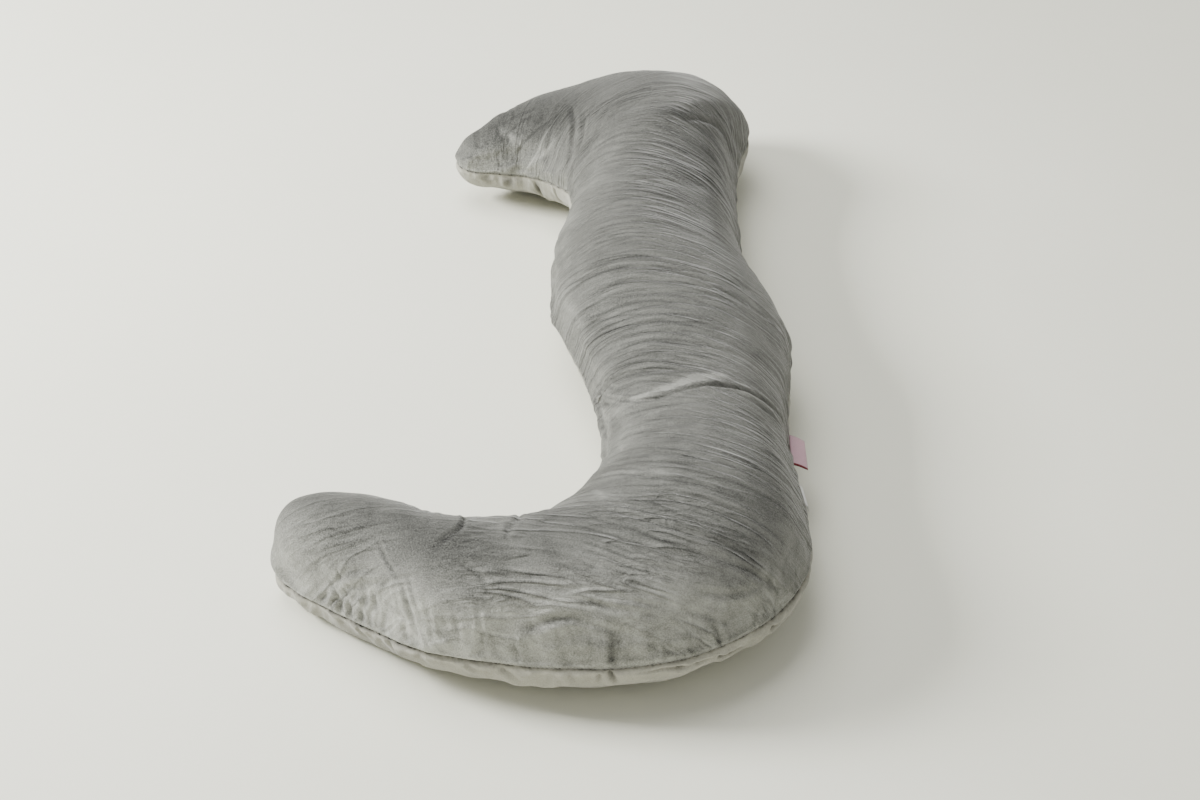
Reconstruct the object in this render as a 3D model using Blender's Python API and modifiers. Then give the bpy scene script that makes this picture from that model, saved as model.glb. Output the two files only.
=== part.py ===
"""Body pillow: one filled cushion, curved like a C, with two bare labels sewn into its seam.

Metres, +Z up. The pillow lies on its back on Z = 0, long way along Y, with both hooks pointing to -X.
The origin is on the floor, under the middle of the pillow's outline.
"""
import math
from collections import namedtuple

import bmesh
import bpy
import numpy as np

COLLECTION = "body_pillow"

# The filled body: how finely it is lofted, and how the two panels meet
STATIONS = 160            # sections along the pillow, tip to tip
ACROSS = 17               # faces over one panel, seam to seam
CROWDING = 0.55           # how much closer the faces lie beside the seams than over the crown
SEAM_SWELL = 0.006        # how far the filling swells out past the stitch line
SEAM_SWELL_REACH = 0.012  # distance from the stitch line at which the swell has mostly risen
UNDERSIDE_TAPER = 1.8     # how fast the lower panel draws in under the seam, where 1 is an ellipse
FLOOR_EASE = 0.012        # height over which the underside rounds off into its flat contact
PUCKER_PITCH = 0.052      # spacing of the gathers along the seam
PUCKER_DEPTH = 0.0018
PUCKER_REACH = 0.045      # how far a gather runs up the panel from the seam
FOLD_LIP = 0.8            # height of the raised lips beside a fold, against its depth

# Sections from the far tip to the near tip. outer and inner are the two seam points of a section,
# seam is the seam's height, crown and belly are how far the filling stands above and below the seam.
Section = namedtuple("Section", "outer_x outer_y inner_x inner_y seam crown belly")
SECTIONS = [
    Section(-0.163, 0.505, -0.163, 0.505, 0.075, 0.000, 0.000),
    Section(-0.135, 0.548, -0.135, 0.468, 0.075, 0.042, 0.042),
    Section(0.005, 0.638, -0.045, 0.443, 0.080, 0.084, 0.080),
    Section(0.205, 0.688, 0.020, 0.388, 0.088, 0.105, 0.105),
    Section(0.290, 0.645, 0.030, 0.358, 0.090, 0.108, 0.110),
    Section(0.327, 0.555, 0.035, 0.330, 0.090, 0.110, 0.110),
    Section(0.303, 0.445, 0.030, 0.290, 0.085, 0.107, 0.110),
    Section(0.290, 0.220, 0.005, 0.165, 0.085, 0.111, 0.110),
    Section(0.303, 0.095, 0.005, 0.085, 0.090, 0.115, 0.110),
    Section(0.336, -0.015, 0.014, 0.005, 0.090, 0.115, 0.110),
    Section(0.340, -0.120, 0.050, -0.105, 0.090, 0.110, 0.110),
    Section(0.330, -0.330, 0.083, -0.275, 0.090, 0.105, 0.110),
    Section(0.325, -0.535, 0.058, -0.390, 0.085, 0.115, 0.110),
    Section(0.145, -0.665, -0.020, -0.465, 0.080, 0.115, 0.103),
    Section(-0.085, -0.645, -0.125, -0.460, 0.069, 0.113, 0.083),
    Section(-0.185, -0.595, -0.190, -0.430, 0.057, 0.123, 0.072),
    Section(-0.305, -0.505, -0.300, -0.410, 0.043, 0.100, 0.048),
    Section(-0.335, -0.455, -0.335, -0.455, 0.045, 0.000, 0.000),
]

# Folds in the upper panel, in plan: middle, heading from +X, length, half width, depth, and how far
# the middle of the fold bows to the left of its heading.
Fold = namedtuple("Fold", "x y heading length width depth bow")
FOLDS = [
    # fanning out of the far crook
    Fold(0.026, 0.446, 85, 0.120, 0.013, 0.006, 0.003),
    Fold(0.044, 0.425, 76, 0.085, 0.012, 0.004, 0.000),
    # hollow behind the far corner
    Fold(0.255, 0.404, -34, 0.130, 0.022, 0.004, 0.030),
    # creases over the middle
    Fold(0.134, -0.130, -10, 0.150, 0.013, 0.003, 0.000),
    Fold(0.160, -0.179, -9, 0.190, 0.014, 0.004, 0.005),
    Fold(0.163, -0.236, -12, 0.160, 0.012, 0.004, -0.001),
    Fold(0.105, -0.255, 25, 0.080, 0.012, 0.005, 0.000),
    Fold(0.205, -0.281, 2, 0.230, 0.014, 0.007, -0.003),
    # long folds fanning out of the near crook
    Fold(0.160, -0.445, -10, 0.140, 0.013, 0.003, 0.002),
    Fold(0.180, -0.510, -17, 0.180, 0.013, 0.005, 0.001),
    Fold(0.190, -0.553, -13, 0.240, 0.014, 0.006, -0.012),
    Fold(0.076, -0.590, -24, 0.140, 0.013, 0.005, 0.002),
    Fold(0.120, -0.622, -10, 0.120, 0.012, 0.005, -0.002),
    Fold(0.006, -0.648, 4, 0.090, 0.013, 0.004, 0.000),
    # short deep folds over the inner side of the near hook
    Fold(-0.026, -0.520, 70, 0.075, 0.011, 0.007, 0.000),
    Fold(-0.088, -0.520, 62, 0.075, 0.011, 0.008, 0.000),
    Fold(-0.128, -0.525, 63, 0.070, 0.012, 0.004, 0.000),
    # star of folds on the near hook
    Fold(-0.172, -0.571, 124, 0.060, 0.011, 0.005, 0.000),
    Fold(-0.186, -0.578, 162, 0.060, 0.011, 0.004, 0.000),
    Fold(-0.156, -0.603, 110, 0.060, 0.011, 0.004, 0.000),
    # gathers that reach the outer seam
    Fold(0.098, -0.668, 95, 0.060, 0.011, 0.005, 0.000),
    Fold(0.222, -0.640, 115, 0.055, 0.011, 0.004, 0.000),
    Fold(-0.218, -0.575, 60, 0.050, 0.011, 0.005, 0.000),
    Fold(-0.262, -0.540, 55, 0.045, 0.010, 0.004, 0.000),
]

# Labels sewn into the outer seam: place along the pillow as a share of its stations, width along
# the seam, reach out of the seam, angle below level at the seam and at the free edge, and ripple.
Label = namedtuple("Label", "name along width reach dip curl ripple colour")
LABELS = [
    Label("side_label", 0.585, 0.062, 0.024, 14, 34, 0.0015, (0.62, 0.44, 0.46)),
    Label("care_label", 0.624, 0.038, 0.020, 40, 118, 0.0008, (0.72, 0.71, 0.68)),
]
LABEL_THICKNESS = 0.0012
LABEL_START = 0.0035      # how far out of the stitch line a label's modelled cloth starts
LABEL_STEPS_ALONG = 14
LABEL_STEPS_OUT = 8
LABEL_RIPPLE_TURN = (-1.2, 4.4)   # phase of a label's ripple at its two ends, radians
FINE_STATIONS = 2001      # places at which the seam is measured
SMALLEST_NORMAL = 1e-9    # keeps a tip's normal, which has no length, from dividing by zero

UPPER_VELVET = (0.262, 0.255, 0.240)
LOWER_PANEL = (0.520, 0.505, 0.455)
VELVET_ROUGHNESS = 0.85
PANEL_ROUGHNESS = 0.90
LABEL_ROUGHNESS = 0.70


def clear_scene():
    for old in list(bpy.data.objects):
        bpy.data.objects.remove(old)


def part_collection():
    collection = bpy.data.collections.new(COLLECTION)
    bpy.context.scene.collection.children.link(collection)
    return collection


def cloth_material(name, colour, roughness):
    material = bpy.data.materials.new(name)
    material.use_nodes = True
    shader = material.node_tree.nodes["Principled BSDF"]
    shader.inputs["Base Color"].default_value = (*colour, 1.0)
    shader.inputs["Roughness"].default_value = roughness
    shader.inputs["Metallic"].default_value = 0.0
    material.diffuse_color = (*colour, 1.0)
    return material


def column(name):
    """One named column of the section table."""
    return np.array([getattr(section, name) for section in SECTIONS])


def open_spline(values, at):
    """Natural cubic spline through values at 0, 1, 2, ..., read at the places in at."""
    count = len(values)
    matrix = np.eye(count)
    pull = np.zeros(count)
    for row in range(1, count - 1):
        matrix[row, row - 1:row + 2] = (1, 4, 1)
        pull[row] = 6 * (values[row - 1] - 2 * values[row] + values[row + 1])
    bend = np.linalg.solve(matrix, pull)
    low = np.clip(np.floor(at).astype(int), 0, count - 2)
    share = at - low
    rest = 1 - share
    straight = values[low] * rest + values[low + 1] * share
    return straight + (rest ** 3 - rest) * bend[low] / 6 + (share ** 3 - share) * bend[low + 1] / 6


def closed_spline(points, at):
    """Periodic cubic spline through a loop of points, read at the places in at."""
    count = len(points)
    matrix = 4 * np.eye(count) + np.roll(np.eye(count), 1, 0) + np.roll(np.eye(count), -1, 0)
    pull = 6 * (np.roll(points, 1, 0) - 2 * points + np.roll(points, -1, 0))
    bend = np.linalg.solve(matrix, pull)
    at = at % count
    low = np.floor(at).astype(int)
    high = (low + 1) % count
    share = (at - low)[:, None]
    rest = 1 - share
    straight = points[low] * rest + points[high] * share
    return straight + (rest ** 3 - rest) * bend[low] / 6 + (share ** 3 - share) * bend[high] / 6


def seam_rails(at):
    """Outer and inner seam points at section places at: both lie on one closed outline."""
    outer = np.column_stack([column("outer_x"), column("outer_y")])
    inner = np.column_stack([column("inner_x"), column("inner_y")])
    outline = np.vstack([outer, inner[-2:0:-1]])
    return closed_spline(outline, at), closed_spline(outline, len(outline) - at)


def even_stations(count):
    """Section places spaced evenly along the two seams."""
    fine = np.linspace(0, len(SECTIONS) - 1, FINE_STATIONS)
    outer, inner = seam_rails(fine)
    step = np.linalg.norm(np.diff(outer, axis=0), axis=1)
    step += np.linalg.norm(np.diff(inner, axis=0), axis=1)
    run = np.concatenate([[0], np.cumsum(step)])
    return np.interp(np.linspace(0, run[-1], count), run, fine)


def surface_normals(grid, up):
    along = np.gradient(grid, axis=0)
    over = np.gradient(grid, axis=1)
    normal = np.cross(along, over)
    normal /= np.maximum(np.linalg.norm(normal, axis=2, keepdims=True), SMALLEST_NORMAL)
    middle = normal[:, grid.shape[1] // 2, 2].mean()
    return normal * (up * np.sign(middle))


def seam_distance(grid):
    """Distance of each point from the nearer seam, and the seam's own run at its section."""
    step = np.linalg.norm(np.diff(grid, axis=1), axis=2)
    run = np.concatenate([np.zeros((len(grid), 1)), np.cumsum(step, axis=1)], axis=1)
    to_outer = run
    to_inner = run[:, -1:] - run
    edge_step = np.linalg.norm(np.diff(grid[:, [0, -1]], axis=0), axis=2)
    edge_run = np.concatenate([np.zeros((1, 2)), np.cumsum(edge_step, axis=0)])
    nearer = to_outer < to_inner
    along = np.where(nearer, edge_run[:, :1], edge_run[:, 1:])
    return np.minimum(to_outer, to_inner), along


def seam_swell(distance, along):
    """The filling rises out of the stitch line, gathered into puckers along it."""
    rise = 1 - np.exp(-distance / SEAM_SWELL_REACH)
    turn = 2 * math.pi * along / PUCKER_PITCH
    gather = np.cos(turn + 0.9 * np.sin(0.37 * turn))
    return rise * (SEAM_SWELL + PUCKER_DEPTH * gather * np.exp(-distance / PUCKER_REACH))


def fold_hollow(fold, x, y):
    """How deep a fold is at each plan point: a soft trough between two low lips."""
    heading = math.radians(fold.heading)
    dx = x - fold.x
    dy = y - fold.y
    along = dx * math.cos(heading) + dy * math.sin(heading)
    run = np.clip(1 - (2 * along / fold.length) ** 2, 0, 1)
    aside = -dx * math.sin(heading) + dy * math.cos(heading) - fold.bow * run
    square = (aside / fold.width) ** 2
    return fold.depth * run * (1 - FOLD_LIP * square) * np.exp(-square)


def rest_on_floor(height):
    """Everything below the floor is pressed flat, with a round start."""
    eased = (height + FLOOR_EASE) ** 2 / (4 * FLOOR_EASE)
    return np.where(height < -FLOOR_EASE, 0.0, np.where(height < FLOOR_EASE, eased, height))


def panel(at, up):
    """Grid of points over one panel, outer seam to inner seam: up is +1 above, -1 below."""
    outer, inner = seam_rails(at)
    seam = open_spline(column("seam"), at)
    stand = np.maximum(open_spline(column("crown" if up > 0 else "belly"), at), 0)
    even = np.linspace(0, 2 * math.pi, ACROSS + 1)
    turn = (even - CROWDING * np.sin(even)) / 2
    side = np.cos(turn)
    taper = 1 if up > 0 else UNDERSIDE_TAPER
    share = ((1 - np.sign(side) * np.abs(side) ** taper) / 2)[None, :, None]
    plan = outer[:, None] * (1 - share) + inner[:, None] * share
    height = seam[:, None] + up * stand[:, None] * np.sin(turn)
    grid = np.dstack([plan, height])
    distance, along = seam_distance(grid)
    lift = seam_swell(distance, along)
    if up > 0:
        fade = np.minimum(distance / SEAM_SWELL_REACH, 1)
        for fold in FOLDS:
            lift -= fade * fold_hollow(fold, grid[..., 0], grid[..., 1])
    grid += surface_normals(grid, up) * lift[..., None]
    if up < 0:
        grid[..., 2] = rest_on_floor(grid[..., 2])
    return grid


def object_from_mesh(name, form, materials, collection):
    mesh = bpy.data.meshes.new(name)
    form.to_mesh(mesh)
    form.free()
    mesh.shade_smooth()
    for material in materials:
        mesh.materials.append(material)
    thing = bpy.data.objects.new(name, mesh)
    collection.objects.link(thing)
    return thing


def pillow_body(at, collection):
    """One closed solid: rings of upper and lower points, drawn together at the two tips."""
    upper = panel(at, 1)
    lower = panel(at, -1)
    rings = np.concatenate([upper, lower[:, -2:0:-1]], axis=1)
    form = bmesh.new()
    tip = form.verts.new(rings[0, 0])
    last = [tip] * rings.shape[1]
    for ring in rings[1:-1]:
        row = [form.verts.new(point) for point in ring]
        join_rings(form, last, row)
        last = row
    join_rings(form, last, [form.verts.new(rings[-1, 0])] * rings.shape[1])
    bmesh.ops.recalc_face_normals(form, faces=form.faces)
    velvet = cloth_material("upper_velvet", UPPER_VELVET, VELVET_ROUGHNESS)
    plain = cloth_material("lower_panel", LOWER_PANEL, PANEL_ROUGHNESS)
    return object_from_mesh("pillow_body", form, [velvet, plain], collection)


def join_rings(form, first, second):
    """Faces between two rings of points; a ring that is one point makes triangles."""
    count = len(first)
    for place in range(count):
        following = (place + 1) % count
        corners = [first[place], second[place], second[following], first[following]]
        face = form.faces.new(list(dict.fromkeys(corners)))
        face.material_index = 0 if place < ACROSS else 1


def seam_under(label):
    """Stitch-line points under a label, with the level direction out of the seam at each."""
    fine = even_stations(FINE_STATIONS)
    outer, _ = seam_rails(fine)
    step = np.linalg.norm(np.diff(outer, axis=0), axis=1)
    run = np.concatenate([[0], np.cumsum(step)])
    middle = run[round(label.along * (FINE_STATIONS - 1))]
    places = middle + np.linspace(-0.5, 0.5, LABEL_STEPS_ALONG + 1) * label.width
    sections = np.interp(places, run, fine)
    plan, _ = seam_rails(sections)
    height = open_spline(column("seam"), sections)
    forward = np.gradient(plan, axis=0)
    forward /= np.linalg.norm(forward, axis=1, keepdims=True)
    outward = np.column_stack([-forward[:, 1], forward[:, 0], np.zeros(len(forward))])
    return np.column_stack([plan, height]), outward


def sewn_label(label, collection):
    """A tape label: a bent, rippled strip that leaves the seam and droops, given its thickness."""
    seam, outward = seam_under(label)
    ripple = label.ripple * np.sin(np.linspace(*LABEL_RIPPLE_TURN, len(seam)))
    level = LABEL_START
    drop = 0.0
    form = bmesh.new()
    rows = []
    for share in np.linspace(0, 1, LABEL_STEPS_OUT + 1):
        places = seam + level * outward
        places[:, 2] += ripple * share - drop
        rows.append([form.verts.new(place) for place in places])
        angle = math.radians(label.dip + (label.curl - label.dip) * share)
        level += label.reach / LABEL_STEPS_OUT * math.cos(angle)
        drop += label.reach / LABEL_STEPS_OUT * math.sin(angle)
    for first, second in zip(rows, rows[1:]):
        for place in range(len(first) - 1):
            form.faces.new([first[place], first[place + 1], second[place + 1], second[place]])
    bmesh.ops.recalc_face_normals(form, faces=form.faces)
    cloth = cloth_material(label.name, label.colour, LABEL_ROUGHNESS)
    strip = object_from_mesh(label.name, form, [cloth], collection)
    thickness = strip.modifiers.new("Thickness", "SOLIDIFY")
    thickness.thickness = LABEL_THICKNESS
    thickness.offset = 0
    return strip


def centre_on_outline(things):
    """Slides the mesh points so that the origin is under the middle of the whole outline."""
    bpy.context.view_layer.update()
    corners = [thing.matrix_world @ vertex.co
               for thing in things for vertex in evaluated_vertices(thing)]
    middle_x = (min(c.x for c in corners) + max(c.x for c in corners)) / 2
    middle_y = (min(c.y for c in corners) + max(c.y for c in corners)) / 2
    for thing in things:
        for vertex in thing.data.vertices:
            vertex.co.x -= middle_x
            vertex.co.y -= middle_y


def evaluated_vertices(thing):
    return thing.evaluated_get(bpy.context.evaluated_depsgraph_get()).data.vertices


def main():
    clear_scene()
    collection = part_collection()
    at = even_stations(STATIONS)
    things = [pillow_body(at, collection)]
    for label in LABELS:
        things.append(sewn_label(label, collection))
    centre_on_outline(things)


main()
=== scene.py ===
"""Body pillow, dressed: velvet upper panel, plush lower panel, sewn seam and its two bare labels.

Metres, +Z up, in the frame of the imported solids. The panels are lofted from one table of sections,
wrinkled by tables of folds, and settled by a short cloth simulation.
"""
import math
from collections import namedtuple

import bmesh
import bpy
import numpy as np
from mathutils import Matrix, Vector


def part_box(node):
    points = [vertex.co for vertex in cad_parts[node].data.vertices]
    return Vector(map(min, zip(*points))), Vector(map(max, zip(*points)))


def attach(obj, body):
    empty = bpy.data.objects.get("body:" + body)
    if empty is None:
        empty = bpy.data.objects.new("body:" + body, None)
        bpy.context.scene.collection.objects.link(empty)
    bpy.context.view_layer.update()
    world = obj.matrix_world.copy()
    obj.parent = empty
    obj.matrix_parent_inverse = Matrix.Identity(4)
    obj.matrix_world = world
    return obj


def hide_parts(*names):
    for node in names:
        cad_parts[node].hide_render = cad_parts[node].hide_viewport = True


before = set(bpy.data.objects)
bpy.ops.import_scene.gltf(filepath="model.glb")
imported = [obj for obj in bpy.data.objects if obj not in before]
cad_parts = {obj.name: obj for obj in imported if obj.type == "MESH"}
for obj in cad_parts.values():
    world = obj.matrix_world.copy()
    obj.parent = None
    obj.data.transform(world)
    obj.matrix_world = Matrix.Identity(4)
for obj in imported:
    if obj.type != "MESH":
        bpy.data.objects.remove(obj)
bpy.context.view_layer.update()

bl_info = {
    "name": "Body Pillow",
    "version": (1, 0, 0),
    "blender": (4, 5, 0),
    "location": "3D View > Sidebar > Body Pillow",
    "description": "Dresses a C-shaped body pillow: velvet and plush panels, seam and labels",
    "category": "Add Mesh",
}

# Sections from the far tip to the near tip, in plan. outer and inner are the two seam points of a
# section, seam is the seam's height, crown and belly are how far the filling stands above and below.
Section = namedtuple("Section", "outer_x outer_y inner_x inner_y seam crown belly")
SECTIONS = [
    Section(-0.163, 0.505, -0.163, 0.505, 0.075, 0.000, 0.000),
    Section(-0.135, 0.548, -0.135, 0.468, 0.075, 0.042, 0.042),
    Section(0.005, 0.638, -0.045, 0.443, 0.080, 0.084, 0.080),
    Section(0.205, 0.688, 0.020, 0.388, 0.088, 0.105, 0.105),
    Section(0.290, 0.645, 0.030, 0.358, 0.090, 0.108, 0.110),
    Section(0.327, 0.555, 0.035, 0.330, 0.090, 0.110, 0.110),
    Section(0.303, 0.445, 0.030, 0.290, 0.085, 0.107, 0.110),
    Section(0.290, 0.220, 0.005, 0.165, 0.085, 0.111, 0.110),
    Section(0.303, 0.095, 0.005, 0.085, 0.090, 0.115, 0.110),
    Section(0.336, -0.015, 0.014, 0.005, 0.090, 0.115, 0.110),
    Section(0.340, -0.120, 0.050, -0.105, 0.090, 0.110, 0.110),
    Section(0.330, -0.330, 0.083, -0.275, 0.090, 0.105, 0.110),
    Section(0.325, -0.535, 0.058, -0.390, 0.085, 0.115, 0.110),
    Section(0.145, -0.665, -0.020, -0.465, 0.080, 0.115, 0.103),
    Section(-0.085, -0.645, -0.125, -0.460, 0.069, 0.113, 0.083),
    Section(-0.185, -0.595, -0.190, -0.430, 0.057, 0.123, 0.072),
    Section(-0.305, -0.505, -0.300, -0.410, 0.043, 0.100, 0.048),
    Section(-0.335, -0.455, -0.335, -0.455, 0.045, 0.000, 0.000),
]

# How finely the panels are meshed
STATIONS = 930            # sections along the pillow, tip to tip
UPPER_ACROSS = 105        # faces over the upper panel, seam to seam
LOWER_ACROSS = 80
UPPER_CROWDING = 0.45     # how much closer faces lie beside the seams than over the crown
LOWER_CROWDING = 0.72
FINE_STATIONS = 2001
SMALLEST_NORMAL = 1e-9
NARROWEST = 0.001         # a panel's width is taken as at least this

# The seam and the floor. The filling rises beside the seam, within this reach of it
SEAM_SWELL_REACH = 0.012
SEAM_NIP = 0.0015         # the tight little groove right at the stitches
SEAM_NIP_REACH = 0.0022
SEAM_WAVER = 0.0012       # how far the stitch line strays up and down
SEAM_WAVER_SIZE = 0.045
FLOOR_EASE = 0.012        # how high above the floor the lower panel starts to flatten
LIP = 0.0045              # how far the lower panel bulges out past the upper one, by the labels
LIP_PLACE = 0.575
LIP_LENGTH = 0.055
LIP_REACH = 0.018
UNDERSIDE_TAPER = 1.8     # how fast the lower panel draws in under the seam, where 1 is an ellipse
INNER_TAPER = 0.9         # and how much faster on its inner side by the bay, which starts and ends
BAY_START = 0.30          # at these shares of the section table
BAY_END = 0.72
BAY_EASE = 0.02           # how soft those ends are

# Gathers along the seam: spacing, depth and how far each kind runs up the panel
Gather = namedtuple("Gather", "pitch depth reach wander")
GATHERS = [
    Gather(0.052, 0.0018, 0.045, 0.9),
    Gather(0.021, 0.0009, 0.022, 1.6),
    Gather(0.0105, 0.0005, 0.010, 2.2),
]
GATHER_DRIFT = 0.37       # how slowly their spacing wanders, in turns of the gather itself
UPPER_GATHERED = 1.0      # how much of their depth each panel's gathers are given
LOWER_GATHERED = 0.7
UPPER_FADE = 0.007        # creases fade out towards the seam within this reach
LOWER_FADE = 0.005

# A crease across its line, in its half widths: a valley 1 deep and a rounded shoulder on either side
SHOULDER_HEIGHT = 0.40
SHOULDER_PLACE = 2.1
VALLEY_ROUNDNESS = 1.5

# Long creases over the upper panel. along is the crease's place along the pillow (0 far tip, 1 near
# tip) at even steps from start to end, which are places across (0 outer seam, 1 inner). width is
# half the valley's width, and a negative depth makes a ridge.
Sweep = namedtuple("Sweep", "start end along width depth")
SWEEPS = [
    # two grooves out of the far crook
    Sweep(0.58, 0.96, (0.118, 0.150, 0.171), 0.0032, 0.0026),
    Sweep(0.66, 0.93, (0.146, 0.168, 0.185), 0.0030, 0.0022),
    Sweep(0.60, 0.90, (0.170, 0.185, 0.196), 0.0035, 0.0012),
    # behind the far corner
    Sweep(0.06, 0.42, (0.279, 0.254, 0.249), 0.0060, 0.0030),
    # over the middle
    Sweep(0.50, 0.80, (0.529, 0.521, 0.515), 0.0035, 0.0022),
    Sweep(0.36, 0.84, (0.553, 0.543, 0.532), 0.0035, 0.0026),
    Sweep(0.42, 0.82, (0.556, 0.545, 0.538), 0.0035, 0.0024),
    Sweep(0.42, 0.82, (0.585, 0.577, 0.570), 0.0040, 0.0030),
    Sweep(0.10, 0.94, (0.583, 0.587, 0.589, 0.597, 0.6075, 0.593, 0.548), 0.0030, 0.0046),
    Sweep(0.36, 0.78, (0.581, 0.584, 0.586, 0.590), 0.0090, -0.0030),
    Sweep(0.76, 0.96, (0.606, 0.584, 0.560), 0.0040, 0.0025),
    Sweep(0.12, 0.36, (0.596, 0.595, 0.594), 0.0030, 0.0032),
    # before the near crook
    Sweep(0.42, 0.84, (0.695, 0.705, 0.704), 0.0032, 0.0018),
    Sweep(0.24, 0.64, (0.695, 0.706, 0.722), 0.0032, 0.0024),
    Sweep(0.14, 0.48, (0.692, 0.698, 0.709), 0.0032, 0.0022),
    Sweep(0.30, 0.74, (0.672, 0.684, 0.690), 0.0030, 0.0014),
    Sweep(0.06, 0.30, (0.706, 0.719, 0.735), 0.0040, 0.0026),
]

# Short folds that run any way over the upper panel: half the valley's width, its depth, and the
# places (along, across) that its line passes through.
Fold = namedtuple("Fold", "width depth places")
# the near crook's fan, from its far side to its near side
FAN = [
    Fold(0.0030, 0.0014, ((0.718, 0.64), (0.712, 0.58), (0.705, 0.52), (0.693, 0.43))),
    Fold(0.0032, 0.0024, ((0.727, 0.57), (0.714, 0.46), (0.705, 0.34), (0.698, 0.18))),
    Fold(0.0034, 0.0030, ((0.751, 0.61), (0.741, 0.49), (0.728, 0.36), (0.710, 0.20))),
    Fold(0.0034, 0.0026, ((0.772, 0.54), (0.758, 0.44), (0.747, 0.35), (0.731, 0.27))),
    Fold(0.0034, 0.0028, ((0.794, 0.47), (0.779, 0.42), (0.764, 0.32), (0.747, 0.26))),
    Fold(0.0030, 0.0014, ((0.803, 0.38), (0.785, 0.35), (0.765, 0.27), (0.749, 0.21))),
    Fold(0.0032, 0.0020, ((0.815, 0.27), (0.802, 0.26), (0.789, 0.23), (0.765, 0.16))),
    Fold(0.0032, 0.0016, ((0.829, 0.16), (0.814, 0.19), (0.799, 0.18), (0.780, 0.12))),
]
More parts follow.
